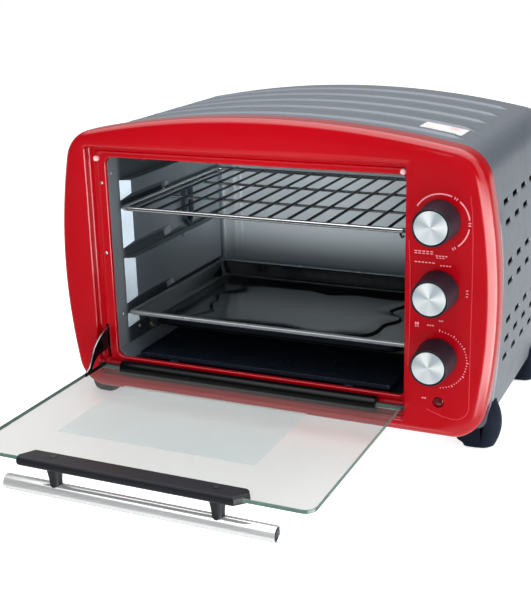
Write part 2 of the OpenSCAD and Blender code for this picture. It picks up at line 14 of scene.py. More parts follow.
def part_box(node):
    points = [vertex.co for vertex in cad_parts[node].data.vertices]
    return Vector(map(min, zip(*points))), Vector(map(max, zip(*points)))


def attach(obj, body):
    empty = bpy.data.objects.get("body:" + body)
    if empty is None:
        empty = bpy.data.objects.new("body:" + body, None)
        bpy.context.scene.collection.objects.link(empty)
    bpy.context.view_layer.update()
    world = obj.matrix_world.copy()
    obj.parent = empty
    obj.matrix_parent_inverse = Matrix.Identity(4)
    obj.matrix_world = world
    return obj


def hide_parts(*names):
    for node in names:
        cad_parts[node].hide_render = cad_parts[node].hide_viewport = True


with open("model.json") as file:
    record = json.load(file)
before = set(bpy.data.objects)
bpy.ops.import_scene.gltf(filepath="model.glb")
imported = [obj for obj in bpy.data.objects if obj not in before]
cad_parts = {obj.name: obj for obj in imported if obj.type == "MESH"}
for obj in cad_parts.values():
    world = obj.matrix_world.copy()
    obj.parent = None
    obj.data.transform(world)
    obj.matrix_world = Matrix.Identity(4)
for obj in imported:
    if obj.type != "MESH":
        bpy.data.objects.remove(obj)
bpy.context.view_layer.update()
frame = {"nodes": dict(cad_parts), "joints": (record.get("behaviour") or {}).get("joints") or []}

MM = 0.001
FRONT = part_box("door_bumpers")[1].y
SHARP = radians(32)     # edges that turn more than this stay crisp


# ---------- places taken from the frame ----------

def at(x, y, z):
    """A place in metres in the shared frame."""
    return Vector((x * MM, FRONT + y * MM, z * MM))


def limits(node):
    """Three (low, high) pairs of a CAD node, in millimetres."""
    low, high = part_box(node)
    shift = (0, FRONT, 0)
    return [((low[a] - shift[a]) / MM, (high[a] - shift[a]) / MM) for a in range(3)]


def pivot(joint):
    """A joint's place, in millimetres."""
    found = next(j for j in frame["joints"] if j["name"] == joint)
    x, y, z = found["pos_m"]
    return x / MM, (y - FRONT) / MM, z / MM


BODY_X, BODY_Y, BODY_Z = limits("front_bezel")
WRAP_Y = limits("outer_wrap")[1]
HINGE_Y, HINGE_Z = pivot("door_hinge")[1:]
KNOBS = {name: pivot(name + "_turn") for name in ("thermostat", "selector", "timer")}
LAMP_X, LAMP_Z = (sum(limits("indicator_lamp")[a]) / 2 for a in (0, 2))


# ---------- outline of the body ----------

SIDE_R, ARCH_R, CORNER_TOP = 575, 1000, 38
SIDE_Z = 154
SIDE_C = (BODY_X[1] - SIDE_R, SIDE_Z)
ARCH_C = (0, BODY_Z[1] - ARCH_R)
CASING_INSET = 3.5
N_BOTTOM, N_CORNER, N_SIDE, N_TOP = 44, 14, 48, 64
ROUND = N_BOTTOM + 4 * N_CORNER + 2 * N_SIDE + N_TOP    # places on a ring


def circles_meet(c1, r1, c2, r2):
    """Of the two points that two circles share, the one on the upper right."""
    dx, dz = c2[0] - c1[0], c2[1] - c1[1]
    d = hypot(dx, dz)
    along = (r1 * r1 - r2 * r2 + d * d) / (2 * d)
    across = sqrt(r1 * r1 - along * along)
    return c1[0] + (dx * along - dz * across) / d, c1[1] + (dz * along + dx * across) / d


def bearing(c, p):
    return atan2(p[1] - c[1], p[0] - c[0])


def lower_side(r, corner):
    """Lower part of a side: its centre and radius, the corner's, and the angle where they meet."""
    centre = (BODY_X[1] - r, SIDE_Z)
    z = BODY_Z[0] + corner
    corner_c = (centre[0] + sqrt((r - corner) ** 2 - (z - SIDE_Z) ** 2), z)
    return centre, r, corner_c, corner, bearing(centre, corner_c)


TOP_C = circles_meet(SIDE_C, SIDE_R - CORNER_TOP, ARCH_C, ARCH_R - CORNER_TOP)
TOP_A, ARCH_A = bearing(SIDE_C, TOP_C), bearing(ARCH_C, TOP_C)
BEZEL_LOW, CASING_LOW = lower_side(SIDE_R, 32), lower_side(900, 15)


def arc(c, r, start, end, count):
    """Places on an arc with their outward directions, without the last one."""
    turns = [start + (end - start) * k / count for k in range(count)]
    return [(c[0] + r * cos(a), c[1] + r * sin(a), cos(a), sin(a)) for a in turns]


def line(start, end, out, count):
    return [(start[0] + (end[0] - start[0]) * k / count, start[1] + (end[1] - start[1]) * k / count, *out)
            for k in range(count)]


def body_ring(low=BEZEL_LOW):
    """An outline of the body: from the lower left, along the bottom and round to the left."""
    low_side_c, low_side_r, low_c, low_r, low_a = low
    right = (arc(low_c, low_r, -pi / 2, low_a, N_CORNER)
             + arc(low_side_c, low_side_r, low_a, 0, N_SIDE // 2)
             + arc(SIDE_C, SIDE_R, 0, TOP_A, N_SIDE // 2)
             + arc(TOP_C, CORNER_TOP, TOP_A, ARCH_A, N_CORNER)
             + arc(ARCH_C, ARCH_R, ARCH_A, pi / 2, N_TOP // 2))
    crown = [(0, BODY_Z[1], 0, 1)]
    left = [(-x, z, -nx, nz) for x, z, nx, nz in right[:0:-1]]
    return line((-low_c[0], BODY_Z[0]), (low_c[0], BODY_Z[0]), (0, -1), N_BOTTOM) + right + crown + left


def window_ring(x, z, r):
    """A rectangle with round corners, in step with body_ring()."""
    return (line((x[0] + r, z[0]), (x[1] - r, z[0]), (0, -1), N_BOTTOM)
            + arc((x[1] - r, z[0] + r), r, -pi / 2, 0, N_CORNER)
            + line((x[1], z[0] + r), (x[1], z[1] - r), (1, 0), N_SIDE)
            + arc((x[1] - r, z[1] - r), r, 0, pi / 2, N_CORNER)
            + line((x[1] - r, z[1]), (x[0] + r, z[1]), (0, 1), N_TOP)
            + arc((x[0] + r, z[1] - r), r, pi / 2, pi, N_CORNER)
            + line((x[0], z[1] - r), (x[0], z[0] + r), (-1, 0), N_SIDE)
            + arc((x[0] + r, z[0] + r), r, pi, 3 * pi / 2, N_CORNER))


def shifted(ring, amount):
    """A ring moved outwards by an amount, or by one amount for each place."""
    by = amount if isinstance(amount, list) else [amount] * len(ring)
    return [(x + d * nx, z + d * nz) for (x, z, nx, nz), d in zip(ring, by)]


def mix(a, b, t):
    return a + (b - a) * t


def between(p, q, t):
    """The flat place a share of the way from one to another."""
    return mix(p[0], q[0], t), mix(p[1], q[1], t)


def ease(t):
    t = min(max(t, 0), 1)
    return t * t * (3 - 2 * t)


def side_at(z, inset):
    """Half-width of the body at a height."""
    return SIDE_C[0] + sqrt((SIDE_R - inset) ** 2 - (z - SIDE_Z) ** 2)


def casing_side(z, inset):
    """Half-width of the casing at a height; low down its side is straighter than the front's."""
    if z > SIDE_Z:
        return side_at(z, inset)
    centre, r, corner_c, corner, low_a = CASING_LOW
    if z > corner_c[1] + corner * sin(low_a):
        return centre[0] + sqrt((r - inset) ** 2 - (z - SIDE_Z) ** 2)
    return corner_c[0] + sqrt(max((corner - inset) ** 2 - (z - corner_c[1]) ** 2, 0))


def arch_at(x, inset):
    """Height of the arched top at a sideways place."""
    return ARCH_C[1] + sqrt((ARCH_R - inset) ** 2 - x * x)


# ---------- mesh helpers ----------

class Shape:
    """Points and faces of one piece, in millimetres."""

    def __init__(self):
        self.points, self.faces = [], []

    def loft(self, loops, ring=False, caps=True, closed=True):
        """Joins loops of equal length; ring joins the last to the first, closed joins each one's ends."""
        start, n = len(self.points), len(loops[0])
        for loop in loops:
            self.points += loop
        rows = len(loops)
        for i in range(rows if ring else rows - 1):
            a, b = start + i * n, start + ((i + 1) % rows) * n
            for k in range(n if closed else n - 1):
                m = (k + 1) % n
                self.faces.append((a + k, a + m, b + m, b + k))
        if caps and not ring:
            self.faces.append(tuple(range(start, start + n)))
            self.faces.append(tuple(range(start + (rows - 1) * n, start + rows * n)))
        return self

    def prism(self, outline, place, low, high):
        """A flat outline between two levels; place(u, v, level) gives a point."""
        return self.loft([[place(u, v, level) for u, v in outline] for level in (low, high)])

    def box(self, x, y, z):
        corners = [(x[0], y[0]), (x[1], y[0]), (x[1], y[1]), (x[0], y[1])]
        return self.prism(corners, lambda u, v, w: (u, v, w), z[0], z[1])

    def spin(self, profile, c, axis, steps=48):
        """Turns a profile of (radius, distance) pairs about an axis through c."""
        turns = [2 * pi * k / steps for k in range(steps)]
        loops = []
        for r, d in profile:
            ring = [(max(r, 0.01) * cos(a), max(r, 0.01) * sin(a)) for a in turns]
            if axis == "x":
                loops.append([(c[0] + d, c[1] + u, c[2] + v) for u, v in ring])
            elif axis == "y":
                loops.append([(c[0] + u, c[1] + d, c[2] + v) for u, v in ring])
            else:
                loops.append([(c[0] + u, c[1] + v, c[2] + d) for u, v in ring])
        return self.loft(loops)


def flat_shape(u, v, w):
    """Places an outline in X and Y at a height."""
    return u, v, w


def front_shape(u, v, w):
    """Places an outline in X and Z at a depth."""
    return u, w, v


def side_shape(u, v, w):
    """Places an outline in Y and Z at a sideways place."""
    return w, u, v


def linked(name, data):
    obj = bpy.data.objects.new(name, data)
    bpy.context.scene.collection.objects.link(obj)
    return obj


def mesh_object(name, shape):
    mesh = bpy.data.meshes.new(name)
    mesh.from_pydata([at(*p) for p in shape.points], [], shape.faces)
    clean = bmesh.new()
    clean.from_mesh(mesh)
    bmesh.ops.remove_doubles(clean, verts=clean.verts, dist=1e-7)
    bmesh.ops.recalc_face_normals(clean, faces=clean.faces)
    clean.to_mesh(mesh)
    clean.free()
    return linked(name, mesh)


def smooth(obj, angle=SHARP):
    obj.data.shade_smooth()
    obj.data.set_sharp_from_angle(angle=angle)


def rounded_edges(obj, width, segments=2, angle=40):
    edge = obj.modifiers.new("edges", "BEVEL")
    edge.width = width * MM
    edge.segments = segments
    edge.limit_method = "ANGLE"
    edge.angle_limit = radians(angle)
    edge.harden_normals = True


def fitted(obj, body, look, replaces=()):
    """Gives a piece its materials and body, and hides the CAD nodes it replaces."""
    obj.data.materials.clear()
    for material in look if isinstance(look, (list, tuple)) else [look]:
        obj.data.materials.append(material)
    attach(obj, body)
    if replaces:
        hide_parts(*replaces)
    return obj


def build(name, shape, body, look, replaces=(), edge=0, segments=2, sharp=SHARP):
    obj = mesh_object(name, shape)
    smooth(obj, sharp)
    if edge:
        rounded_edges(obj, edge, segments)
    return fitted(obj, body, look, replaces)


def cut(obj, cutter):
    """Takes the cutter's shape out of a piece for good."""
    change = obj.modifiers.new("cut", "BOOLEAN")
    change.operation = "DIFFERENCE"
    change.solver = "EXACT"
    change.object = cutter
    bpy.context.view_layer.update()
    mesh = bpy.data.meshes.new_from_object(obj.evaluated_get(bpy.context.evaluated_depsgraph_get()))
    obj.modifiers.clear()
    obj.data = mesh
    bpy.data.objects.remove(cutter)


def wires(name, runs, body, look, replaces=(), sides=5):
    """Round wires as one curve object. Each run is (points, radius, closed)."""
    curve = bpy.data.curves.new(name, "CURVE")
    curve.dimensions = "3D"
    curve.bevel_depth = MM
    curve.bevel_resolution = sides
    curve.use_fill_caps = True
    for points, radius, closed in runs:
        spline = curve.splines.new("POLY")
        spline.points.add(len(points) - 1)
        for k, p in enumerate(points):
            spline.points[k].co = (*at(*p), 1)
            spline.points[k].radius = radius
        spline.use_cyclic_u = closed
        spline.use_smooth = True
    return fitted(linked(name, curve), body, look, replaces)


def round_rect(x, y, r, n=8):
    """Corners of a rectangle with round corners, as flat points."""
    (left, right), (low, high) = grow(x, -r), grow(y, -r)
    spots = enumerate([(right, high), (left, high), (left, low), (right, low)])
    return [(c[0] + r * cos(pi / 2 * (q + k / n)), c[1] + r * sin(pi / 2 * (q + k / n)))
            for q, c in spots for k in range(n + 1)]


def grow(span, by):
    return span[0] - by, span[1] + by


# ---------- materials ----------

def tone(r, g, b):
    """An 8-bit display colour as linear light."""
    shares = (r / 255, g / 255, b / 255)
    return tuple(c / 12.92 if c <= 0.04045 else ((c + 0.055) / 1.055) ** 2.4 for c in shares)


class Tree:
    """A node tree, with short ways to add to it."""

    def __init__(self, tree):
        self.nodes, self.links = tree.nodes, tree.links

    def feed(self, socket, value):
        """Gives an input a number or colour, or links it to an output."""
        if isinstance(value, bpy.types.NodeSocket):
            self.links.new(value, socket)
        else:
            socket.default_value = value

    def add(self, kind, inputs, **settings):
        """Adds a node and returns its outputs."""
        node = self.nodes.new(kind)
        for name, value in settings.items():
            setattr(node, name, value)
        for name, value in inputs.items():
            self.feed(node.inputs[name], value)
        return node.outputs

    def maths(self, operation, one, two=0):
        return self.add("ShaderNodeMath", {0: one, 1: two}, operation=operation)["Value"]

    def parts(self, vector):
        return self.add("ShaderNodeSeparateXYZ", {"Vector": vector})

    def span(self, value, low, high, start=0.12, end=0.88, kind="LINEAR"):
        """Takes the range from start to end into the range from low to high."""
        ranges = {"Value": value, "From Min": start, "From Max": end, "To Min": low, "To Max": high}
        return self.add("ShaderNodeMapRange", ranges, interpolation_type=kind)["Result"]

    def layer(self, share, one, two):
        return self.add("ShaderNodeMixShader", {0: share, 1: one, 2: two})["Shader"]


class Look(Tree):
    """One node material, put together from a shader and a few noise layers."""

    def __init__(self, name, colour, rough, metallic=0.0, coat=0.0, ior=1.5):
        self.material = bpy.data.materials.new(name)
        self.material.use_nodes = True
        super().__init__(self.material.node_tree)
        self.shader = self.nodes["Principled BSDF"]
        self.colour, self.rough = colour, rough
        self.set("Base Color", (*colour, 1)).set("Roughness", rough).set("Metallic", metallic)
        self.set("Coat Weight", coat).set("Coat Roughness", 0.05).set("IOR", ior)
        self.place = self.add("ShaderNodeTexCoord", {})["Object"]

    def set(self, socket, value):
        self.feed(self.shader.inputs[socket], value)
        return self

    def noise(self, scale, detail, stretch):
        place = self.place
        if stretch != (1, 1, 1):
            place = self.add("ShaderNodeMapping", {"Vector": place, "Scale": stretch})["Vector"]
        return self.add("ShaderNodeTexNoise", {"Scale": scale, "Detail": detail, "Vector": place})["Fac"]

    def blend(self, value, one, two):
        mixed = self.add("ShaderNodeMix", {"A": (*one, 1), "B": (*two, 1), "Factor": value}, data_type="RGBA")
        return next(o for o in mixed if o.type == "RGBA")

    def relief(self, value, height, strength=1):
        """The direction of a surface raised by a value, its height in millimetres."""
        inputs = {"Strength": strength, "Distance": height * MM, "Height": value}
        return self.add("ShaderNodeBump", inputs)["Normal"]

    def fade(self, axis, start, end, other):
        """Lets the colour pass into another one between two places on an axis, in millimetres."""
        share = self.span(self.parts(self.place)[axis], 0, 1, start * MM, end * MM, "SMOOTHSTEP")
        return self.set("Base Color", self.blend(share, self.colour, other))

    def vary(self, scale, share):
        """Lets the colour drift by a share either way."""
        dark, light = (tuple(min(c * by, 1) for c in self.colour) for by in (1 - share, 1 + share))
        value = self.span(self.noise(scale, 4, (1, 1, 1)), 0, 1)
        return self.set("Base Color", self.blend(value, dark, light))

    def wear(self, scale, by, stretch=(1, 1, 1)):
        """Lets the roughness drift."""
        value = self.noise(scale, 4, stretch)
        return self.set("Roughness", self.span(value, max(self.rough - by, 0.02), self.rough + by))

    def bump(self, scale, height, stretch=(1, 1, 1)):
        """Raises a fine texture, its height in millimetres."""
        return self.set("Normal", self.relief(self.noise(scale, 2, stretch), height))


BRUSHED_UP, BRUSHED_ACROSS = (1, 1, 0.08), (0.1, 1, 1)


def red_gloss():
    look = Look("red_gloss", tone(168, 0, 16), 0.17, coat=0.3).set("Specular IOR Level", 0.3)
    return look.vary(9, 0.05).wear(40, 0.05).bump(160, 0.012).material


def powder_coat():
    look = Look("powder_coat", tone(98, 105, 114), 0.38, metallic=0.3)
    return look.vary(14, 0.04).wear(60, 0.06).bump(1500, 0.03).material


def cavity_steel():
    look = Look("cavity_steel", tone(112, 123, 131), 0.32, metallic=0.4)
    # Lighter towards the back of the cavity: painted light, not a change in the steel.
    return look.fade("Y", 20, 200, tone(190, 200, 206)).wear(30, 0.08).bump(900, 0.02, BRUSHED_UP).material


def groove_shade_steel():
    """The sheet behind the pressed panels, darker away from the mouth: painted shade for the grooves between
    the panels.
    """
    look = Look("groove_shade_steel", tone(128, 136, 142), 0.45, metallic=0.3)
    return look.fade("Y", -6, 6, tone(58, 66, 72)).wear(30, 0.08).bump(900, 0.02, BRUSHED_UP).material


def back_steel_painted_light():
    """Back wall, darker towards the floor: painted light on its upper part."""
    look = Look("back_steel_painted_light", tone(112, 122, 128), 0.34, metallic=0.2)
    return look.fade("Z", 104, 150, tone(210, 221, 227)).wear(30, 0.08).bump(900, 0.02, BRUSHED_UP).material


def shade_dark_sheet():
    # Dark sheet for the parts inside the casing: painted shade, so that nothing lit shows through the vents.
    look = Look("shade_dark_sheet", tone(44, 46, 49), 0.7, metallic=0.2)
    return look.vary(45, 0.15).wear(50, 0.08).bump(500, 0.03).material


def shaded_wire():
    # A darker copy of the plated wire: painted shade in place of the chrome's dark reflections.
    look = Look("shaded_wire", tone(52, 57, 62), 0.32, metallic=0.7)
    return look.vary(120, 0.12).wear(90, 0.08).bump(600, 0.02).material


def dark_screw():
    look = Look("dark_screw", tone(58, 60, 64), 0.4, metallic=0.7)
    return look.vary(200, 0.10).wear(150, 0.08).bump(900, 0.02).material


def crease_shade_line():
    # Near black: a painted shade line along the crease of the tray's raised field.
    look = Look("crease_shade_line", tone(3, 3, 4), 0.7).set("Specular IOR Level", 0.1)
    return look.vary(60, 0.2).wear(40, 0.06).bump(300, 0.02).material


def rim_highlight_grey():
    # Lighter grey than the enamel: a painted highlight along the tray's rolled rim.
    look = Look("rim_highlight_grey", tone(138, 143, 147), 0.25, metallic=0.5)
    return look.vary(60, 0.10).wear(40, 0.06).bump(300, 0.02).material


def shade_dark_steel():
    # Steel darkened as painted shade, for the oven floor, crumb pan and spit hanger that lie in shadow.
    look = Look("shade_dark_steel", tone(34, 44, 58), 0.3, metallic=0.6)
    return look.vary(12, 0.12).wear(25, 0.08).bump(700, 0.02, BRUSHED_ACROSS).material


def zinc_sheet():
    look = Look("zinc_sheet", tone(176, 180, 182), 0.38, metallic=0.9)
    return look.vary(45, 0.12).wear(50, 0.08).bump(500, 0.02).material


def black_enamel():
    look = Look("black_enamel", tone(7, 8, 10), 0.14, coat=0.25)
    return look.vary(60, 0.3).wear(30, 0.05).bump(220, 0.03).material


def plated_wire():
    look = Look("plated_wire", tone(196, 200, 202), 0.22, metallic=1.0)
    return look.vary(120, 0.12).wear(90, 0.08).bump(600, 0.02).material


def black_plastic():
    look = Look("black_plastic", tone(22, 24, 29), 0.45).set("Specular IOR Level", 0.3)
    return look.vary(30, 0.08).wear(60, 0.06).bump(1400, 0.05).material


def black_metal():
    look = Look("black_metal", tone(6, 7, 9), 0.25).set("Specular IOR Level", 0.14)
    return look.vary(40, 0.12).wear(50, 0.06).bump(700, 0.02).material


def knob_plastic():
    look = Look("knob_plastic", tone(22, 20, 30), 0.5).set("Specular IOR Level", 0.2)
    return look.vary(60, 0.06).wear(90, 0.05).bump(1600, 0.04).material


def chrome():
    look = Look("handle_chrome", tone(226, 228, 229), 0.16, metallic=0.55)
    return look.vary(40, 0.04).wear(60, 0.04, BRUSHED_ACROSS).bump(500, 0.004, (0.05, 1, 1)).material


def screw_steel():
    look = Look("screw_steel", tone(178, 181, 184), 0.28, metallic=1.0)
    return look.vary(200, 0.10).wear(150, 0.08).bump(900, 0.02).material


def foot_rubber():
    look = Look("foot_rubber", tone(18, 25, 36), 0.65).set("Specular IOR Level", 0.06)
    return look.vary(40, 0.10).wear(60, 0.08).bump(1100, 0.07).material


def pink_pad():
    look = Look("pink_pad", tone(236, 190, 196), 0.3)
    look.set("Subsurface Weight", 0.3).set("Subsurface Scale", 0.002)
    return look.vary(200, 0.05).wear(200, 0.05).bump(900, 0.03).material


def label_paper():
    look = Look("label_paper", tone(238, 232, 230), 0.4)
    smudge = look.span(look.noise(55, 1, (1, 1, 1)), 0, 1, 0.5, 0.62)
    look.set("Base Color", look.blend(smudge, tone(240, 236, 234), tone(236, 206, 208)))
    return look.wear(90, 0.05).bump(600, 0.02).material


def print_ink():
    look = Look("print_ink", tone(232, 150, 158), 0.5)
    return look.vary(400, 0.05).wear(300, 0.05).bump(900, 0.02).material


def dark_lens():
    look = Look("dark_lens", tone(92, 8, 14), 0.12, coat=0.5)
    return look.vary(300, 0.25).wear(200, 0.04).bump(700, 0.02).material


def lamp_glass():
    look = Look("lamp_glass", tone(214, 150, 110), 0.1).set("Transmission Weight", 0.6)
    return look.vary(300, 0.1).wear(200, 0.04).bump(700, 0.01).material


def heater_tube():
    look = Look("heater_tube", tone(128, 122, 114), 0.35, metallic=0.9)
    return look.vary(60, 0.2).wear(60, 0.1).bump(600, 0.03).material


def ceramic():
    # Ceramic darkened to grey: painted shade, as the insulators sit in shadow.
    look = Look("ceramic", tone(104, 101, 94), 0.6)
    return look.vary(120, 0.05).wear(90, 0.08).bump(900, 0.05).material


def brass():
    look = Look("brass", tone(196, 158, 84), 0.3, metallic=1.0)
    return look.vary(150, 0.12).wear(120, 0.08).bump(900, 0.02).material


def moulded(name, colour):
    look = Look(name, colour, 0.5)
    return look.vary(60, 0.08).wear(60, 0.08).bump(900, 0.05).material


def spun_aluminium():
    """Turned metal: fine rings, and painted bright and dark sectors, a painted highlight standing in for the
    light that turning marks catch.
    """
    look = Look("spun_aluminium", tone(222, 226, 228), 0.35, metallic=0.3).set("Anisotropic", 0.35)
    place = look.add("ShaderNodeTexCoord", {})["Generated"]
    centred = look.add("ShaderNodeVectorMath", {0: place, 1: (0.5, 0.5, 0.5)}, operation="SUBTRACT")["Vector"]
    parts = look.parts(centred)
    turn = look.maths("ARCTAN2", parts["Z"], parts["X"])
    # Sectors painted into the colour: painted highlight and shade in place of the turning marks' sheen.
    painted_sheen_waves = [look.maths("SINE", look.maths("ADD", look.maths("MULTIPLY", turn, count), lag))
             for count, lag in ((4, 0.6), (3, 1.9))]
    share = look.span(look.maths("ADD", *painted_sheen_waves), 0, 1, -1.6, 1.6)
    look.set("Base Color", look.blend(share, tone(168, 181, 188), tone(232, 238, 240)))
    look.set("Tangent", look.add("ShaderNodeTangent", {}, direction_type="RADIAL", axis="Y")["Tangent"])
    across = look.add("ShaderNodeVectorMath", {0: centred, 1: (1, 0, 1)}, operation="MULTIPLY")["Vector"]
    radius = look.add("ShaderNodeVectorMath", {0: across}, operation="LENGTH")["Value"]
    rings = look.maths("SINE", look.maths("MULTIPLY", radius, 260))
    return look.set("Normal", look.relief(rings, 0.02, 0.35)).wear(300, 0.02).material


def clear_pane(name, tint, haze, rough, mirror=1.35):
    """A thin see-through sheet: what is behind it, tinted, under a mirror that grows at a low angle."""
    look = Look(name, haze, rough, ior=mirror)
    through = look.add("ShaderNodeBsdfTransparent", {"Color": (*tint, 1)})["BSDF"]
    share = look.span(look.add("ShaderNodeFresnel", {"IOR": mirror})["Fac"], 0.01, 0.5, 0.02, 1.0)
    sheet = look.layer(share, through, look.shader.outputs["BSDF"])
    look.feed(look.nodes["Material Output"].inputs["Surface"], sheet)
    return look.vary(30, 0.03).wear(20, 0.01).material


def glass_edge():
    look = Look("glass_edge", tone(84, 112, 104), 0.15)
    return look.vary(120, 0.2).wear(60, 0.04).bump(300, 0.01).material


# ---------- front moulding ----------

FACE_Y = BODY_Y[0]
RECESS_X, RECESS_Z = (-200, 149.9), (36, 289)
MOUTH_X, MOUTH_Z = (-181.2, 149.4), (55, 277.2)
MOUTH_R = 8
EDGE_R, PANEL_EDGE_R, LIP_R, WALL = 8, 14, 2.5, 2.5
TROUGH_R = 8.8


def right_share(i):
    """1 on the control panel's side of a ring, 0 elsewhere, easing over its corners."""
    start = N_BOTTOM
    end = start + 2 * N_CORNER + N_SIDE
    if not start <= i <= end:
        return 0
    return min(ease((i - start) / N_CORNER), ease((end - i) / N_CORNER))


def face_fall(near, width, depth):
    """How far the face drops back towards an edge that is this near."""
    return depth * max(1 - near / width, 0) ** 2


def panel_face(x, z):
    """Depth of the control panel's face at a place on it."""
    return FACE_Y + face_fall(side_at(z, 0) - x - 11.5, 24, 2.2)


def bezel_loops():
    body = body_ring()
    recess, mouth = window_ring(RECESS_X, RECESS_Z, 4), window_ring(MOUTH_X, MOUTH_Z, MOUTH_R)
    right = [right_share(i) for i in range(ROUND)]
    width = [mix(20, 24, r) for r in right]
    depth = [mix(2.0, 2.2, r) for r in right]
    slope = [atan(2 * d / w) for d, w in zip(depth, width)]
    edge = [mix(EDGE_R, PANEL_EDGE_R, r) for r in right]
    inset = [e * (1 - sin(s)) for e, s in zip(edge, slope)]
    outer = shifted(body, [-v for v in inset])
    inner = shifted(recess, LIP_R)
    gap = [hypot(a[0] - b[0], a[1] - b[1]) for a, b in zip(outer, inner)]
    squeeze = [min(1, g / 26) for g in gap]
    lip_fall = 1.3
    loops = []

    def add(flat, depth):
        depths = depth if isinstance(depth, list) else [depth] * ROUND
        loops.append([(x, y, z) for (x, z), y in zip(flat, depths)])

    add(shifted(body, 0), BODY_Y[1])
    for k in range(9):
        turn = [(pi / 2 - s) * k / 8 for s in slope]
        flat = shifted(body, [-e * (1 - cos(a)) for e, a in zip(edge, turn)])
        base = [FACE_Y + face_fall(0, w, d * q) - e * (1 - sin(pi / 2 - s))
                for e, w, d, q, s in zip(edge, width, depth, squeeze, slope)]
        add(flat, [b + e * (1 - sin(a)) for e, a, b in zip(edge, turn, base)])
    for t in (0.03, 0.07, 0.12, 0.18, 0.25, 0.33, 0.42, 0.5, 0.58, 0.67, 0.75, 0.82, 0.88, 0.93, 0.97, 1):
        falls = [face_fall(g * t, w * q, d * q) + face_fall(g * (1 - t), 13 * q, lip_fall * q)
                 for g, w, d, q in zip(gap, width, depth, squeeze)]
        add([between(a, b, t) for a, b in zip(outer, inner)], [FACE_Y + f for f in falls])
    lip = [FACE_Y + lip_fall * q for q in squeeze]
    for k in range(1, 6):
        turn = pi / 2 * k / 5
        add(shifted(recess, LIP_R * (1 - sin(turn))), [y + LIP_R * (1 - cos(turn)) for y in lip])
    add(shifted(recess, 0), -2)
    hem = [mix(2, 0.1, r) for r in right]
    for k in range(1, 4):
        turn = pi / 2 * k / 3
        add(shifted(recess, [-h * (1 - cos(turn)) for h in hem]), -2 + 2 * sin(turn))
    start = shifted(recess, [-h for h in hem])
    rim = [mix(1.5, 0.05, r) for r in right]
    stop = shifted(mouth, rim)
    for t in (0.1, 0.2, 0.28, 0.34, 0.40, 0.46, 0.52, 0.58, 0.64, 0.72, 0.8, 0.9, 1):
        flat = [between(a, b, t) for a, b in zip(start, stop)]
        add(flat, [recess_floor(x, z, t, r) for (x, z), r in zip(flat, right)])
    for k in range(1, 4):
        turn = pi / 2 * k / 3
        add(shifted(mouth, [v * (1 - sin(turn)) for v in rim]), 1.5 * (1 - cos(turn)))
    back, behind = 4.4, FACE_Y + lip_fall + WALL + 0.5
    add(shifted(mouth, 0), back)
    add(shifted(mouth, 2), back)
    add(shifted(recess, 2.4), back)
    add(shifted(recess, 2.4), behind)
    add(shifted(body, -EDGE_R), behind)
    add(shifted(body, -WALL), FACE_Y + EDGE_R + 1)
    add(shifted(body, -WALL), BODY_Y[1])
    return loops


def recess_floor(x, z, t, right):
    """Depth of the recess's floor: a low bead round the mouth, and a trough behind the hinge rail."""
    low = ease((62 - z) / 8)
    bead = -1.3 * max(1 - ((t - 0.46) / 0.15) ** 2, 0) * (1 - low) * (1 - right)
    reach = TROUGH_R ** 2 - (z - HINGE_Z) ** 2
    trough = max(sqrt(reach) + HINGE_Y, 0) if reach > 0 else 0
    return bead + trough * low


def front_moulding():
    obj = mesh_object("front_moulding", Shape().loft(bezel_loops(), ring=True))
    holes = Shape()
    for x, _, z in KNOBS.values():
        holes.spin([(4, 0), (4, 20)], (x, FACE_Y - 5, z), "y", 32)
    holes.spin([(6.4, 0), (5.6, 4.6), (5.5, 5.2), (5.5, 16)], (LAMP_X, FACE_Y - 4.4, LAMP_Z), "y", 40)
    arm_x = limits("hinge_arm")[0]
    holes.box(grow(arm_x, 1.2), (-4, 6), (52, 92))
    cut(obj, mesh_object("holes", holes))
    smooth(obj, radians(38))
    return fitted(obj, "root", red_gloss(), ["front_bezel"])


# ---------- casing ----------

RIBS = [57 + 49.5 * i for i in range(5)]
RIB_HALF_X, RIB_HALF_Y, RIB_RISE = 186, 7, 2
VENT_ROWS = [244.6 - 19.8 * k for k in (0, 1, 3, 4, 6, 7, 8)]
VENT_COLUMNS = [64 + 39 * i for i in range(6)]
VENT_SIZE = (20, 5)
CREASE_Y, CREASE_DEEP = 32, 1.2
FLARE_Y = 18.3


def rib_rise(y, x):
    """Height of the pressed ribs across the top."""
    near = min(abs(y - r) for r in RIBS)
    return RIB_RISE * ease((RIB_HALF_Y - near) / 3) * ease((RIB_HALF_X - abs(x)) / 5)


def crease_sink(y, z):
    """Depth of the upright crease pressed in the sides behind the front moulding."""
    groove = CREASE_DEEP * max(1 - ((y - CREASE_Y) / 2.2) ** 2, 0)
    return groove * ease((250 - z) / 30) * ease((z - 30) / 15)


def wrap_section(y, inset):
    """The casing's section at a depth, from its right lower lip over the top to its left one."""
    low = CASING_LOW if y > FLARE_Y else BEZEL_LOW
    ring = body_ring(low)[N_BOTTOM:] + [(-low[2][0], BODY_Z[0], 0, -1)]
    points = [(190, BODY_Z[0] + inset)]
    for x, z, nx, nz in ring:
        rise = rib_rise(y, x) if nz > 0.9 else 0
        sink = crease_sink(y, z) if abs(nx) > 0.9 else 0
        points.append((x - nx * (inset - rise + sink), z - nz * (inset - rise + sink)))
    points.append((-190, BODY_Z[0] + inset))
    return points


def casing_stations():
    """Depths at which the casing's section changes."""
    marks = {12, FLARE_Y, FLARE_Y + 0.4, WRAP_Y[1] - 1.2, WRAP_Y[1] - 0.3, WRAP_Y[1]}
    marks.update(CREASE_Y + d for d in (-2.3, -1.6, -0.8, 0, 0.8, 1.6, 2.3))
    for rib in RIBS:
        marks.update(rib + d for d in (-7.2, -6.2, -5.5, -4.8, -3.8, 0, 3.8, 4.8, 5.5, 6.2, 7.2))
        marks.add(rib + 24)
    return sorted(m for m in marks if m <= WRAP_Y[1])


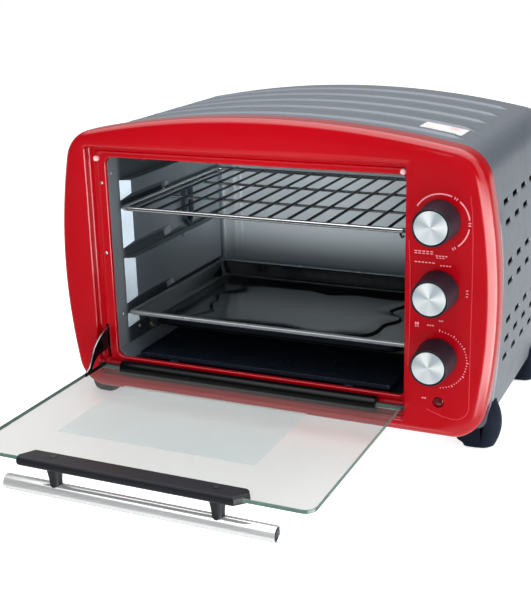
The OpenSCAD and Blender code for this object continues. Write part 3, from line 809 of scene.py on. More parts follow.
def vent_cutter():
    """All the side slots, each with a small chamfer on the outside."""
    shape = Shape()
    half_y, half_z = VENT_SIZE[0] / 2, VENT_SIZE[1] / 2
    for side in (-1, 1):
        for z in VENT_ROWS:
            for y in VENT_COLUMNS:
                skin = casing_side(z, CASING_INSET)
                loops = []
                for depth, extra in ((3, 1.2), (0.35, 1.2), (-0.5, 0.1), (-6, 0)):
                    span_y = (y - half_y - extra, y + half_y + extra)
                    span_z = (z - half_z - extra, z + half_z + extra)
                    outline = round_rect(span_y, span_z, half_z + extra - 0.4, 5)
                    loops.append([(side * (skin + depth), u, v) for u, v in outline])
                shape.loft(loops)
    return mesh_object("vents", shape)


def casing():
    outer, inner = [], []
    for y in casing_stations():
        rolled = 0.5 if y > WRAP_Y[1] - 0.5 else 0
        outer.append([(x, y, z) for x, z in wrap_section(y, CASING_INSET + rolled)])
        inner.append([(x, y, z) for x, z in wrap_section(y, CASING_INSET + 1)])
    shape = Shape()
    loops = outer + inner[::-1]
    shape.loft(loops, ring=True, closed=False)
    n = len(outer[0])
    for end in (0, n - 1):
        shape.faces.append(tuple(row * n + end for row in range(len(loops))))
    obj = mesh_object("casing", shape)
    cut(obj, vent_cutter())
    smooth(obj, radians(30))
    fitted(obj, "root", powder_coat(), ["outer_wrap"])
    flange = Shape()
    ring = body_ring(CASING_LOW)
    a, b = shifted(ring, -CASING_INSET - 0.9), shifted(ring, -14)
    loops = [[(x, y, z) for x, z in flat] for flat, y in ((a, 292.1), (b, 292.1), (b, 292.9), (a, 292.9))]
    flange.loft(loops, ring=True)
    return build("casing_flange", flange, "root", bpy.data.materials["powder_coat"])


BAFFLE_X, BAFFLE_Y, BAFFLE_Z = (160, 222), (263, 264), (44, 262)


def rear_baffle(look):
    """Dark sheet inside the back, put there as painted shade so that its slots don't show daylight."""
    shape = Shape().box(BAFFLE_X, BAFFLE_Y, BAFFLE_Z)
    return build("rear_baffle", shape, "root", look, edge=0.2)


LABEL_X, LABEL_Y = (139, 182), (66, 98)


def label():
    low, high = 0.05, 0.3
    shape = Shape()
    steps = 16
    loops = []
    for k in range(steps + 1):
        u = mix(*LABEL_X, k / steps)
        skin = arch_at(u, CASING_INSET)
        loops.append([(u, LABEL_Y[a], skin + h) for a, h in ((0, low), (1, low), (1, high), (0, high))])
    shape.loft(loops)
    return build("top_sticker", shape, "root", label_paper(), ["top_label"])


# ---------- feet ----------

FOOT_C, FOOT_R, FOOT_BEND = (190.3, 22), 46.7, 14
FLANGE_THICK = 3


def foot_pull(y, span):
    """How far a foot's outer side is drawn in at a depth, so that its corners are round in plan."""
    near = min(y - span[0], span[1] - y, FOOT_BEND)
    return FOOT_BEND - sqrt(FOOT_BEND ** 2 - (FOOT_BEND - near) ** 2)


def foot_section(pull):
    """A foot's outline seen from the front, drawn in from its outer side."""
    r = FOOT_R - pull
    low = min(0.25 * pull, 2)
    reach = sqrt(r * r - (low - FOOT_C[1]) ** 2)
    first = atan2(low + 3 - FOOT_C[1], reach - 0.6)
    top = radians(35)
    base = (206, FOOT_C[0] + reach - 3.5)
    points = [(base[0] - 2.5, low + 3.5), (base[0] - 1, low + 0.8), (base[0] + 1, low), (base[1], low),
              (base[1] + 2, low + 0.7)]
    for k in range(15):
        a = mix(first, top, k / 14)
        points.append((FOOT_C[0] + r * cos(a), FOOT_C[1] + r * sin(a)))
    ceiling = BODY_Z[0] + CASING_INSET
    start = points[-1][1]
    for k in range(1, 11):
        z = mix(start, ceiling + 0.5, k / 10)
        points.append((casing_side(z, CASING_INSET - 0.2), z))
    points += [(216, ceiling - 0.2), (196, ceiling - 0.2), (195, 14), (198, 8.5)]
    return points


def feet():
    look = foot_rubber()
    for node in ("foot_front_left", "foot_front_right", "foot_rear_left", "foot_rear_right"):
        side = 1 if node.endswith("right") else -1
        span = limits(node)[1]
        loops = []
        for k in range(25):
            depth = mix(span[0] + 0.2, span[1] - 0.2, 0.5 - 0.5 * cos(pi * k / 24))
            loops.append([(side * u, depth, v) for u, v in foot_section(foot_pull(depth, span))])
        shape = Shape().loft(loops)
        ceiling = BODY_Z[0] + CASING_INSET - 0.2
        shape.box(sorted((side * 185, side * 198)), grow(span, -5), (ceiling - FLANGE_THICK, ceiling))
        build(node + "_rubber", shape, "root", look, [node], edge=0.5)


# ---------- cavity ----------

WALL_X = (-181.2, 153)
PANELS = [(84, 96.8, 0), (104.6, 160.6, 7.6), (167.2, 216.5, 8.3), (223.3, 247.5, 5.5)]
PANEL_Y = (25.3, 253)
NOTCH_Y = 118
PROUD = 9.3
PLATE_FACES = 6
UNDER_DROP, UNDER_RISE = 4.5, 3.5


def panel_outline(low, high, notch):
    """A pressed panel seen from inside, as (y, z); its lower edge steps up at the front by the notch."""
    y0, y1 = PANEL_Y
    if not notch:
        return [(y0, low), (y1, low), (y1, high), (y0, high)]
    step = [(y0, low + notch), (NOTCH_Y - 3, low + notch), (NOTCH_Y, low)]
    return step + [(y1, low), (y1, high), (y0, high)]


def pressed_wall(name, side, node, look, plate_shade_look):
    """A side wall: flat sheet with four pressed panels; side is 1 for the left wall, -1 for the right."""
    wall_x = WALL_X[0] if side > 0 else WALL_X[1]
    shape = Shape()
    shape.box(sorted((wall_x, wall_x - side)), (4.5, 270), (50, 286))
    for low, high, notch in PANELS:
        outline = panel_outline(low, high, notch)
        middle = (low + high) / 2
        foot_loop = [(wall_x - side * 0.5, y, z - UNDER_DROP if z < middle else z) for y, z in outline]
        top_loop = []
        for y, z in outline:
            slide = PROUD if y == PANEL_Y[0] else -PROUD if y == PANEL_Y[1] else 0
            draft = UNDER_RISE if z < middle else -0.8
            top_loop.append((wall_x + side * PROUD, y + slide, z + draft))
        shape.loft([foot_loop, top_loop])
    rivet = [(2.6, 0), (2.6, side * 0.4), (1.8, side * 1.2), (0.6, side * 1.5)]
    for y, z in [(17.9, 98.7), (50, 75), (235, 75), (12, 258)]:
        shape.spin(rivet, (wall_x, y, z), "x", 20)
    obj = build(name, shape, "root", [look, plate_shade_look], [node], edge=0.9)
    # The plate's faces take the darker look: painted shade in the grooves between the panels.
    for face in obj.data.polygons[:PLATE_FACES]:
        face.material_index = 1
    return obj


def back_wall(look):
    """Back wall with an upright bead and a sloped corner post on each side."""
    y = limits("cavity_back_wall")[1]
    shape = Shape()
    post = [(WALL_X[0], 254.5), (-172.4, 254.5), (-170.6, 255.3), (-163.8, 268), (-162, 269.4), (-160, 269.8)]
    bead = [(-157.5, 269.8), (-156.6, 268.9), (-155, 268.3), (-153.4, 268.9), (-152.5, 269.8)]
    half = post + bead
    middle = sum(WALL_X) / 2
    flip = [(2 * middle - x, v) for x, v in half[::-1]]
    shape.prism(half + flip + [(WALL_X[1], y[1]), (WALL_X[0], y[1])], flat_shape, 50.5, 285.5)
    return build("oven_back_wall", shape, "root", look, ["cavity_back_wall"], edge=0.5,
                 sharp=radians(50))


GUIDE_X, GUIDE_WIDE = (-120, 82), 10


def oven_floor(look, hem_look):
    """Floor with the raised guides of the crumb tray and a sloped hem along each wall."""
    shape = Shape()
    shape.box(grow(WALL_X, 1), (4.5, 270), (49, 50))
    for x in GUIDE_X:
        shape.box((x, x + GUIDE_WIDE), (8, 262), (49.5, 55))
    middle = sum(WALL_X) / 2
    hems = Shape()
    near, far = WALL_X[0] + 0.2, WALL_X[0] + 12.2
    for flip in (False, True):
        corners = [(near, 62), (far, 50), (far, 49.6), (near, 49.6)]
        outline = [(2 * middle - x, z) if flip else (x, z) for x, z in corners]
        hems.prism(outline, front_shape, 6, 252)
    build("oven_floor_hems", hems, "root", hem_look, edge=0.4)
    return build("oven_floor", shape, "root", look, ["cavity_floor"], edge=0.5)


def spit_hanger(look):
    """The bent steel strip that the end of the spit drops into."""
    x, y, z = limits("spit_bracket")
    centre = sum(y) / 2
    outer = [(y[0], z[1]), (y[0], z[0] + 9), (centre - 2, z[0] + 0.6), (centre, z[0]),
             (centre + 2, z[0] + 0.6), (y[1], z[0] + 9), (y[1], z[1])]
    inner = [(y[1] - 3, z[1]), (y[1] - 3, z[0] + 11.5), (centre + 1, z[0] + 5.6), (centre, z[0] + 5.2),
             (centre - 1, z[0] + 5.6), (y[0] + 3, z[0] + 11.5), (y[0] + 3, z[1])]
    shape = Shape().prism(outer + inner, side_shape, x[0] + 0.1, x[1])
    for v in (z[1] - 8, z[1] - 22):
        shape.spin([(2.4, 0), (2.4, 0.8), (1.4, 1.9)], (x[0] - 0.2, centre, v), "x", 20)
    strip = Shape().box((x[0] + 0.2, x[0] + 1.4), (y[0] + 4, y[1] - 4), (z[0] + 13, z[1] - 1))
    for v in (z[1] - 8, z[1] - 18, z[1] - 28):
        strip.spin([(3.4, 0), (3.2, 0.8), (1.2, 1.4), (0.3, 1.5)], (x[0] + 1.3, centre, v), "x", 20)
    build("spit_hanger_strip", strip, "root", zinc_sheet(), edge=0.2)
    return build("spit_hanger", shape, "root", look, ["spit_bracket"], edge=0.4)


# ---------- shelves ----------

FRAME_R, WIRE_R = 2.5, 1.5
LONG_WIRES = 14
TIE_Y = (96, 176)


def rack():
    x, y, z = limits("rack_frame")
    level = z[0] + FRAME_R
    fx, fy = grow(x, -FRAME_R), grow(y, -FRAME_R)
    # The long wires and the hook take the darker copy of the plated wire: painted shade.
    bright, dark = plated_wire(), shaded_wire()
    corner = [(u, v, level) for u, v in round_rect(fx, fy, 10, 8)]
    wires("rack_frame_wire", [(corner, FRAME_R, True)], "rack", bright, ["rack_frame"])
    pitch = (fx[1] - fx[0]) / (LONG_WIRES + 1)
    places = [fx[0] + i * pitch for i in range(1, LONG_WIRES + 1)]
    stops = (fy[0] + 0.4, fy[0] + 4, fy[1] - 4, fy[1] - 0.4)
    runs = [([(u, v, level + 0.6) for v in stops], WIRE_R, False) for u in places]
    wires("rack_long_wires", runs, "rack", dark, ["rack_wires"])
    under = sum(limits("rack_cross_wires")[2]) / 2
    hook = [(138, fy[0], level), (138, fy[0] - 0.5, level - 4), (139.5, fy[0] - 0.5, level - 6.5),
            (141.5, fy[0], level - 5)]
    wires("rack_hook", [(hook, 1.3, False)], "rack", dark)
    ends = (fx[0] + pitch - 2.4, fx[1] - pitch + 2.4)
    ties = [([(u, v, under) for u in ends], WIRE_R, False) for v in TIE_Y]
    return wires("rack_ties", ties, "rack", bright, ["rack_cross_wires"])


def tray():
    """Baking tray: rolled rim, sloped walls and a wavy raised field on its floor."""
    x, y, z = limits("baking_tray")
    n = 9
    floor_z = z[0]
    mid = (sum(x) / 2, sum(y) / 2)

    def loop(inset, height, r):
        corners = round_rect(grow(x, -inset), grow(y, -inset), r, n)
        side = len(corners) // 4
        ring = []
        for i, p in enumerate(corners):
            ring.append((*p, height))
            if (i + 1) % side == 0:
                q = corners[(i + 1) % len(corners)]
                ring += [(*between(p, q, k / 20), height) for k in range(1, 20)]
        return ring

    top = z[1]
    rolled = ((2.2, 4.6, 6), (0.9, 4.3, 7), (0.1, 3.2, 7), (0.2, 1.6, 7), (1.3, 0.4, 6.5), (2.8, 0, 6),
              (5, 0.1, 6), (6.8, 0.9, 7), (8.2, 2.6, 8))
    sloped = ((13, 5, 11), (14.6, 2.6, 12), (17, 1.3, 13), (20, 1, 15))
    loops = [loop(inset, top - drop, r) for inset, drop, r in rolled]
    loops += [loop(inset, floor_z + rise, r) for inset, rise, r in sloped]
    rim_faces = 7 * len(loops[0])
    rim = loop(20, floor_z + 1, 18)
    wave = [wavy(u, v, mid, x, y) for u, v, _ in rim]
    for t in (0.25, 0.5, 0.75, 0.97):
        loops.append([(*between(p, w, t), floor_z + 1) for p, w in zip(rim, wave)])
    for t, rise in ((1, 0.3), (1.008, 1.2), (1.016, 2.1), (1.024, 2.4)):
        loops.append([(*between(mid, w, 2 - t), floor_z + 1 + rise) for w in wave])
    for t in (0.8, 0.6, 0.4, 0.2, 0.02):
        loops.append([(*between(mid, w, t * 0.97), floor_z + 3.4) for w in wave])
    shape = Shape()
    shape.loft(loops, caps=False)
    shape.faces.append(tuple(range(len(shape.points) - len(rim), len(shape.points))))
    obj = mesh_object("enamel_tray", shape)
    for face in obj.data.polygons:
        face.use_smooth = True
    skin = obj.modifiers.new("sheet", "SOLIDIFY")
    skin.thickness = 0.8 * MM
    skin.offset = -1
    smooth(obj, radians(60))
    fitted(obj, "tray", [black_enamel(), rim_highlight_grey(), crease_shade_line()], ["baking_tray"])
    # The rolled rim takes the lighter grey look: painted highlight.
    for face in obj.data.polygons[:rim_faces]:
        face.material_index = 1
    ring = len(rim)
    # The step round the raised field takes the near-black look: painted shade along the crease.
    for face in obj.data.polygons[16 * ring:20 * ring]:
        face.material_index = 2
    return obj


def wavy(u, v, mid, x, y):
    """Where the tray's raised field ends, seen from the middle towards a place on the floor's rim."""
    a = atan2((v - mid[1]) / (y[1] - y[0]), (u - mid[0]) / (x[1] - x[0]))
    share = 0.76 + 0.05 * cos(6 * a + 0.7) + 0.028 * cos(11 * a)
    return between(mid, (u, v), share)


def crumb_pan(look):
    x, y, z = limits("crumb_tray")
    loops = [[(u, v, h) for u, v in round_rect(grow(x, -i), grow(y, -i), 3, 5)]
             for i, h in ((0, z[1]), (0, z[0]), (0.8, z[1]), (0.8, z[0] + 0.8))]
    shape = Shape().loft([loops[1], loops[0], loops[2], loops[3]])
    return build("crumb_pan", shape, "crumbs", look, ["crumb_tray"], edge=0.3)


# ---------- door ----------

def shrunk(outline, x, y, inset, height):
    """A flat outline drawn in from its limits by an inset, at a height."""
    mid = (sum(x) / 2, sum(y) / 2)
    fx, fy = 1 - inset / (x[1] - mid[0]), 1 - inset / (y[1] - mid[1])
    return [(mix(mid[0], u, fx), mix(mid[1], v, fy), height) for u, v in outline]


def door_glass():
    x, y, z = limits("door_glass")
    r, c = 10, 0.5
    outline = [(x[1], y[1]), (x[0], y[1])]
    for u, start in ((x[0] + r, pi), (x[1] - r, 3 * pi / 2)):
        turns = [start + pi / 2 * k / 8 for k in range(9)]
        outline += [(u + r * cos(a), y[0] + r + r * sin(a)) for a in turns]
    levels = ((c, z[0]), (0, z[0] + c), (0, z[1] - c), (c, z[1]))
    obj = mesh_object("door_pane", Shape().loft([shrunk(outline, x, y, *level) for level in levels]))
    smooth(obj, radians(30))
    pane = clear_pane("pane_glass", (0.985, 0.988, 0.983), tone(120, 122, 120), 0.03)
    fitted(obj, "door", [pane, glass_edge()], ["door_glass"])
    for face in obj.data.polygons:
        face.material_index = 0 if abs(face.normal.z) > 0.9 else 1
    return obj


def door_film():
    x, y, z = limits("door_film")
    shape = Shape().prism(round_rect(x, (y[0], -57), 2, 4), flat_shape, z[0] + 0.02, z[0] + 0.2)
    look = clear_pane("film", (0.945, 0.962, 0.962), tone(214, 222, 222), 0.35, 1.3)
    return build("protective_film", shape, "door", look, ["door_film"])


def both_ends(edge, length):
    """A spin profile with the same edge at each end."""
    return edge + [(r, length - d) for r, d in edge[::-1]]


def hinge_rail(look):
    x = limits("door_rail")[0]
    profile = both_ends([(6.9, 0), (7.7, 0.4), (8, 1.2)], x[1] - x[0])
    shape = Shape().spin(profile, (x[0], HINGE_Y, HINGE_Z), "x", 64)
    return build("hinge_rail", shape, "door", look, ["door_rail"])


STOP_OUTER = [(-43, 6.5), (-37, 9), (-32.5, 15), (-29, 21.5), (-24.5, 27.5), (-18, 33), (-11, 37.5),
              (-3, 41.2), (5, 43.5), (10.5, 43.3)]
STOP_INNER = [(6.5, 21), (0, 18.4), (-10, 18), (-19, 16.5), (-26, 12), (-31, 7)]
STOP_FOOT = (-44.2, -4)


def hinge_stop(look, rim_look):
    """Curved stop arm with a turned foot and a bright outer rim."""
    x = limits("hinge_arm")[0]
    lift = limits("door_glass")[2][1] - HINGE_Z
    outline = [(-44, lift)] + STOP_OUTER + STOP_INNER + [(-34, lift)]
    outline = [(HINGE_Y + y, HINGE_Z + z) for y, z in outline]
    shape = Shape().prism(outline, side_shape, x[0] + 0.2, x[1] - 0.2)
    foot = [HINGE_Y + y for y in STOP_FOOT]
    shape.box(x, foot, (HINGE_Z + lift, HINGE_Z + lift + 3.4))
    build("hinge_stop", shape, "door", look, ["hinge_arm"], edge=0.3)
    rim = outline[1:len(STOP_OUTER) + 1]
    band = [between((HINGE_Y, HINGE_Z), p, 0.975) for p in rim[::-1]]
    strip = Shape().prism(rim + band, side_shape, x[0] + 0.5, x[1] + 0.05)
    return build("hinge_stop_rim", strip, "door", rim_look)


def handle_clamp(look):
    """Moulded clamp over the glass edge, with pointed ends and a sloped top."""
    x, y, z = limits("handle_plate")
    plan = [(x[0] + 2, y[0]), (x[1] - 10, y[0]), (x[1], y[1] - 9), (x[1] - 5, y[1]), (x[0] + 9, y[1]),
            (x[0], y[0] + 5)]
    levels = ((2.2, z[0]), (0.4, z[0] + 1.6), (0, z[0] + 4), (0.3, z[1] - 1.8), (1.6, z[1]))
    obj = mesh_object("handle_clamp", Shape().loft([shrunk(plan, x, y, *level) for level in levels]))
    screw_x = [sum(span) / 2 for span in post_spans()]
    screw_y = sum(limits("handle_posts")[1]) / 2
    holes = Shape()
    for u in screw_x:
        holes.spin([(3.4, 0), (3.7, 1.6), (3.9, 4)], (u, screw_y, z[1] - 1.5), "z", 28)
    cut(obj, mesh_object("recesses", holes))
    smooth(obj, radians(25))
    rounded_edges(obj, 0.45, 2, 25)
    return fitted(obj, "door", look, ["handle_plate"])


def post_spans():
    """Sideways limits of the two handle posts."""
    x = limits("handle_posts")[0]
    wide = 16
    return [(x[0], x[0] + wide), (x[1] - wide, x[1])]


def handle_posts(look):
    z = limits("handle_posts")[2]
    y = sum(limits("handle_posts")[1]) / 2
    tube_y, tube_z = (sum(limits("handle_tube")[a]) / 2 for a in (1, 2))
    turns = [2 * pi * k / 40 for k in range(40)]
    shape = Shape()
    for span in post_spans():
        c = sum(span) / 2
        loops = []
        for t in (0, 0.06, 0.2, 0.45, 0.7, 0.9, 1):
            height = mix(z[1], tube_z + 4.5, t)
            wide, deep = mix(7.8, 6.0, ease(t * 1.3)), mix(7.4, 5.6, ease(t * 1.3))
            middle = mix(y, tube_y, t)
            loops.append([(c + wide * cos(a) * (1 - 0.08 * cos(2 * a) ** 2), middle + deep * sin(a), height)
                          for a in turns])
        loops.append([(c + 5.2 * cos(a), tube_y + 3.2 * sin(a), tube_z + 2) for a in turns])
        shape.loft(loops)
    return build("handle_post_pair", shape, "door", look, ["handle_posts"], edge=0.4)


def handle_bar(look, cap_look):
    x, y, z = limits("handle_tube")
    c = (x[0], sum(y) / 2, sum(z) / 2)
    r, length = (z[1] - z[0]) / 2, x[1] - x[0]
    edge = [(r - 0.9, 3), (r - 0.95, 0.5), (r - 0.6, 0.05), (r - 0.2, 0.15), (r, 0.7)]
    shape = Shape().spin(both_ends(edge, length), c, "x", 64)
    build("handle_bar", shape, "door", look, ["handle_tube"], sharp=radians(50))
    caps = Shape()
    for start, way in ((x[0] + 1.0, 1), (x[1] - 1.0, -1)):
        plug = [(0.4, 0), (3.2, 0.1), (4.6, 0.9), (5.4, 0.5), (6.4, 0.3), (6.4, 6)]
        caps.spin([(q, d * way) for q, d in plug], (start, c[1], c[2]), "x", 40)
    return build("handle_plugs", caps, "door", cap_look, ["handle_end_caps"])


# ---------- controls ----------

KNOB_BACK_R = 20


def knob(name, look, cap_look):
    x, _, z = KNOBS[name]
    y = limits("knob_" + name)[1]
    r = 18
    deep = y[1] - y[0]
    back = KNOB_BACK_R
    profile = [(r - 1.9, 1.1), (r - 1.7, 0.5), (r - 1.25, 0.08), (r - 0.7, 0), (r - 0.25, 0.35), (r, 1.1),
               (r + 0.1, 3), (mix(r, back, 0.6), deep * 0.62), (back - 0.15, deep - 2.2),
               (back - 0.05, deep - 1), (back - 0.35, deep), (4.5, deep)]
    body = Shape().spin([(0.2, 1.4)] + profile, (x, y[0], z), "y", 96)
    build("knob_grip_" + name, body, name + "_knob", look, ["knob_" + name])
    dished = [(0.3, 0.42), (6, 0.40), (12, 0.36), (r - 2.9, 0.32), (r - 2.35, 0.5), (r - 2.3, 1.2)]
    disc = Shape().spin(dished, (x, y[0], z), "y", 96)
    build("knob_face_" + name, disc, name + "_knob", cap_look, ["knob_cap_" + name])


def ribbon(shape, points, width):
    """A printed line on the control panel, through places given as (x, z)."""
    half, proud, sink = width / 2, 0.12, 0.05
    loops = []
    for k, (x, z) in enumerate(points):
        before, after = points[max(k - 1, 0)], points[min(k + 1, len(points) - 1)]
        dx, dz = after[0] - before[0], after[1] - before[1]
        size = hypot(dx, dz)
        nx, nz = -dz / size * half, dx / size * half
        y = panel_face(x, z)
        loops.append([(x + nx, y - proud, z + nz), (x - nx, y - proud, z - nz), (x - nx, y + sink, z - nz),
                      (x + nx, y + sink, z + nz)])
    shape.loft(loops)


def dial_arc(shape, c, radius, start, end, width):
    """A printed arc about a knob; angles in degrees, clockwise from the top."""
    count = max(int(abs(end - start) / 4), 2)
    turns = [radians(90 - mix(start, end, k / count)) for k in range(count + 1)]
    ribbon(shape, [(c[0] + radius * cos(a), c[1] + radius * sin(a)) for a in turns], width)


def dial_tick(shape, c, radius, turn, size, width):
    a = radians(90 - turn)
    ribbon(shape, [(c[0] + q * cos(a), c[1] + q * sin(a)) for q in (radius, radius + size)], width)


# rows of bars: height, start, how many, pitch and line width
BAR_ROWS = [(208.3, 160, 5, 3.8, 1.0), (206.2, 160, 5, 3.8, 0.8), (204.8, 180.5, 4, 3, 1.0),
            (202.8, 181, 3, 3, 0.7), (197.6, 160.3, 6, 3.4, 1.0), (195.7, 185, 4, 2.8, 0.9),
            (136.5, 161.5, 2, 2.2, 2.4), (133.8, 161.5, 2, 2.2, 1.0), (135.8, 173.5, 3, 2.4, 1.2),
            (141.2, 185, 2, 2.4, 1.2), (60.6, 169.5, 2, 2.4, 1.2)]


def panel_print():
    """Scales round the knobs and rows of short bars, with no lettering."""
    shape = Shape()
    top, middle, low = ((KNOBS[n][0], KNOBS[n][2]) for n in ("thermostat", "selector", "timer"))
    top = (top[0] + 1, top[1] - 2)
    low = (low[0], low[1] - 2)
    for start, end in ((-58, 22), (40, 82), (100, 142)):
        dial_arc(shape, top, 27, start, end, 1.3)
    for turn in (28, 33, 88, 93, 149, 154):
        dial_tick(shape, top, 25.8, turn, 2.4, 1.0)
    for k in range(30):
        dial_tick(shape, low, 28.4, 4 + k * 5.8, 1.1 if k % 5 else 2.2, 0.9)
    for turn in (86, 92, 98):
        dial_tick(shape, middle, 26.5, turn, 2.0, 0.8)
    for z, x, count, pitch, width in BAR_ROWS:
        for k in range(count):
            u = x + k * pitch
            ribbon(shape, [(u, z), (u + pitch * 0.68, z)], width)
    return build("panel_print", shape, "root", print_ink())


BORDER_TOP = [(211.6, 263), (213.8, 248), (215, 225)]
BORDER_X, BORDER_Z = 215.7, (190, 160, 130, 98, 72)
BORDER_CORNER, BORDER_R = (201.7, 56), 14
BORDER_LOW = [(201.7, 42), (191, 43.6), (182, 46.6), (174, 49.8)]
BORDER_LEFT = [(154.6, 218), (156, 190), (156.4, 154), (156.2, 122), (154.8, 92)]
BORDER_WIDTH = 0.8


def border_highlight_red():
    # Lighter red: a painted highlight along the embossed edge of the control panel.
    look = Look("border_highlight_red", tone(206, 44, 58), 0.25, coat=0.3)
    return look.vary(90, 0.06).wear(90, 0.04).bump(300, 0.01).material


def panel_border(look):
    """Painted highlights along the faint embossed lines that frame the controls: one with a turned lower
    corner, and one on the left.
    """
    corner = [p[:2] for p in arc(BORDER_CORNER, BORDER_R, 0, -pi / 2, 8)]
    right = BORDER_TOP + [(BORDER_X, z) for z in BORDER_Z] + corner + BORDER_LOW
    shape = Shape()
    for points in (right, BORDER_LEFT):
        ribbon(shape, points, BORDER_WIDTH)
    return build("panel_border", shape, "root", look)


def lamp_window(look):
    y = FACE_Y + 1.0
    profile = [(0.3, -0.1), (2.4, 0.05), (4.2, 0.5), (5.3, 1.2), (5.3, 2.6)]
    shape = Shape().spin(profile, (LAMP_X, y, LAMP_Z), "y", 48)
    return build("lamp_window", shape, "root", look, ["indicator_lens"])


PAD_PLACES = [(-190.5, 275.7), (145.5, 280.6)]
RIVET_X, RIVET_HEIGHTS = -186.5, (172.9, 249.5)


def bumpers(look):
    shape = Shape()
    for x, z in PAD_PLACES:
        shape.spin([(0.3, -4.3), (1.6, -4.1), (2.6, -3.3), (3, -2), (3, 0)], (x, 0, z), "y", 32)
    return build("door_pads", shape, "root", look, ["door_bumpers"])


def mouth_rivets(look):
    """Two small rivets on the recess's floor, beside the mouth."""
    shape = Shape()
    for z in RIVET_HEIGHTS:
        shape.spin([(0.2, -1.9), (1.1, -1.7), (1.7, -1.1), (1.9, -0.4), (1.9, 1)], (RIVET_X, 0, z), "y", 24)
    return build("mouth_rivets", shape, "root", look)


# ---------- CAD nodes that keep their shape ----------

LARGE_SHEETS = ("back_panel", "base_panel", "cavity_roof")


def dress(node, look, edge):
    """Gives a CAD node its material and soft edges, leaving its mesh as it is."""
    obj = frame["nodes"][node]
    obj.data.materials.clear()
    obj.data.materials.append(look)
    weld = obj.modifiers.new("weld", "WELD")
    weld.merge_threshold = 1e-6
    if edge:
        rounded_edges(obj, edge, 2, 35)


def dress_inside():
    known = bpy.data.materials
    groups = [
        (known["powder_coat"], ["back_panel"]),
        (known["zinc_sheet"], ["base_panel"]),
        (known["cavity_steel"], ["cavity_roof"]),
        (known["shade_dark_sheet"], ["heat_shield", "control_bracket", "timer_body", "spit_motor"]),
        (known["screw_steel"], ["spit_socket", "back_screws", "foot_screws"]),
        (known["screw_steel"], ["shaft_" + name for name in KNOBS]),
        (known["black_plastic"], ["cord_bushing"]),
        (known["black_metal"], ["hinge_rod"]),
        (heater_tube(), ["upper_heaters", "lower_heaters"]),
        (ceramic(), ["heater_insulators", "terminal_block"]),
        (moulded("cream_phenolic", tone(214, 206, 188)), ["thermostat_body"]),
        (moulded("brown_phenolic", tone(150, 96, 44)), ["selector_body"]),
        (brass(), ["control_nuts"]),
        (lamp_glass(), ["indicator_lamp"]),
        (dark_screw(), ["handle_screws"]),
    ]
    for look, nodes in groups:
        for node in nodes:
            dress(node, look, 0 if node in LARGE_SHEETS else 0.25)


# ---------- studio ----------

def hang(name, lamp, place, target):
    """Puts a lamp in its place, turned to a target."""
    obj = linked(name, lamp)
    obj.location = place
    obj.rotation_euler = (Vector(target) - obj.location).to_track_quat("-Z", "Y").to_euler()
    return obj


def softbox(name, place, target, size, power):
    lamp = bpy.data.lights.new(name, "AREA")
    lamp.shape = "RECTANGLE"
    lamp.size, lamp.size_y = size
    lamp.energy = power
    return hang(name, lamp, place, target)


class Sky(Tree):
    """The world's nodes, as a brightness that depends on the direction."""

    def __init__(self, world):
        world.use_nodes = True
        super().__init__(world.node_tree)
        parts = self.parts(self.add("ShaderNodeTexCoord", {})["Generated"])
        self.x, self.y, self.z = (parts[k] for k in "XYZ")

    def step(self, value, start, end):
        """0 before the start and 1 after the end, easing between; the start may be the larger."""
        low, high = (0, 1) if start < end else (1, 0)
        return self.span(value, low, high, min(start, end), max(start, end), "SMOOTHSTEP")

    def card(self, brightness, *steps):
        """A bright card that fills the directions where all the steps hold."""
        for step in steps:
            brightness = self.maths("MULTIPLY", step, brightness)
        return brightness

    def background(self, strength):
        return self.add("ShaderNodeBackground", {"Color": (1, 1, 1, 1), "Strength": strength})["Background"]


def into_cavity():
    """A soft beam that goes in between the shelves and lights the back wall."""
    lamp = bpy.data.lights.new("into_cavity", "SPOT")
    lamp.energy = 70
    lamp.spot_size = radians(10)
    lamp.spot_blend = 0.7
    lamp.shadow_soft_size = 0.12
    obj = hang("into_cavity", lamp, (-0.02, -1.8, 0.10), (-0.02, 0.244, 0.215))
    obj.visible_glossy = False


def studio():
    """White surroundings, with bright cards for the gloss to mirror; it stays dark in front."""
    scene = bpy.context.scene
    scene.view_settings.view_transform = "Standard"
    scene.world = bpy.data.worlds.new("studio")
    sky = Sky(scene.world)
    right = sky.card(10, sky.step(sky.x, 0.40, 0.62), sky.step(sky.z, -0.6, -0.45),
                     sky.step(sky.z, 0.08, -0.08), sky.step(sky.y, 0.45, 0.25))
    over = sky.card(2.6, sky.step(sky.z, 0.5, 0.75))
    table = sky.card(0.75, sky.step(sky.z, 0.05, -0.1), sky.step(sky.y, -0.2, 0.3))
    near = sky.card(0.8, sky.step(sky.z, -0.42, -0.62), sky.step(sky.y, 0.1, -0.1))
    behind = sky.card(0.3, sky.step(sky.y, 0.2, 0.6), sky.step(sky.z, -0.05, 0.1),
                      sky.step(sky.x, 0.25, -0.1))
    total = 0.09
    for value in (right, over, table, near, behind):
        total = sky.maths("ADD", value, total)
    ray = sky.add("ShaderNodeLightPath", {})
    rest = sky.layer(ray["Is Glossy Ray"], sky.background(0.42), sky.background(total))
    shown = sky.layer(ray["Is Camera Ray"], rest, sky.background(1.0))
    sky.feed(sky.nodes["World Output"].inputs["Surface"], shown)
    softbox("overhead", (0.1, -0.1, 1.7), (0, 0, 0.2), (2.2, 1.6), 20)
    softbox("right_wall", (1.7, -0.4, 0.7), (0, 0, 0.2), (1.2, 1.4), 9)
    softbox("front_fill", (0.3, -2.2, 0.9), (0, 0, 0.15), (1.2, 0.9), 14).visible_glossy = False
    into_cavity()


FLOOR_HALF, FLOOR_GLOW = 6, 0.72


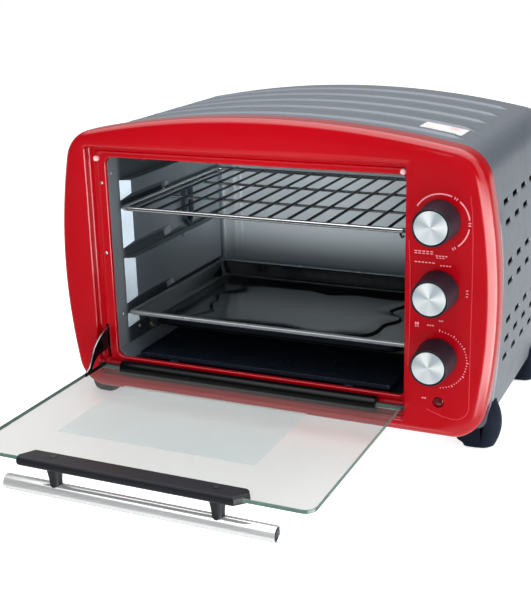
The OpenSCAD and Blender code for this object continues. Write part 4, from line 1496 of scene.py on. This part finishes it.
def pale_floor():
    size = FLOOR_HALF
    mesh = bpy.data.meshes.new("floor")
    corners = [(-size, -size, 0), (size, -size, 0), (size, size, 0), (-size, size, 0)]
    mesh.from_pydata(corners, [], [(0, 1, 2, 3)])
    floor = linked("floor", mesh)
    look = Look("pale_floor", (0.93, 0.93, 0.93), 0.9)
    look.set("Emission Color", (1, 1, 1, 1)).set("Emission Strength", FLOOR_GLOW)
    mesh.materials.append(look.vary(2, 0.01).material)
    floor.visible_glossy = False


CAMERA_PLACE = (0.4602, -1.0277, 0.4891)
CAMERA_RIGHT, CAMERA_UP = (0.91191, 0.40957, -0.02579), (-0.10144, 0.28589, 0.95287)
CAMERA_LENS = 68.0


def camera():
    data = bpy.data.cameras.new("camera")
    data.lens = CAMERA_LENS
    data.sensor_width = 36
    data.sensor_fit = "AUTO"
    obj = linked("camera", data)
    right, up = Vector(CAMERA_RIGHT), Vector(CAMERA_UP)
    back = right.cross(up)
    turn = Matrix((right, up, back)).transposed().to_4x4()
    obj.matrix_world = Matrix.Translation(CAMERA_PLACE) @ turn
    bpy.context.scene.camera = obj


# ---------- everything ----------

def make_all():
    # steel turns lighter towards the back as painted light; dark is steel darkened as painted shade for the
    # floor, crumb pan and spit hanger.
    steel, dark, zinc = cavity_steel(), shade_dark_steel(), screw_steel()
    plastic, metal = black_plastic(), black_metal()
    front_moulding()
    casing()
    label()
    rear_baffle(shade_dark_sheet())
    feet()
    # The plate behind the pressed panels takes painted shade.
    groove = groove_shade_steel()
    pressed_wall("oven_left_wall", 1, "cavity_left_wall", steel, groove)
    pressed_wall("oven_right_wall", -1, "cavity_right_wall", steel, groove)
    back_wall(back_steel_painted_light())
    oven_floor(dark, steel)
    spit_hanger(dark)
    rack()
    tray()
    crumb_pan(dark)
    door_glass()
    door_film()
    hinge_rail(metal)
    hinge_stop(metal, zinc)
    handle_clamp(plastic)
    handle_posts(plastic)
    handle_bar(chrome(), plastic)
    grip, cap = knob_plastic(), spun_aluminium()
    for name in KNOBS:
        knob(name, grip, cap)
    panel_print()
    panel_border(border_highlight_red())
    lamp_window(dark_lens())
    bumpers(pink_pad())
    mouth_rivets(zinc)
    dress_inside()


studio()
pale_floor()
camera()
make_all()
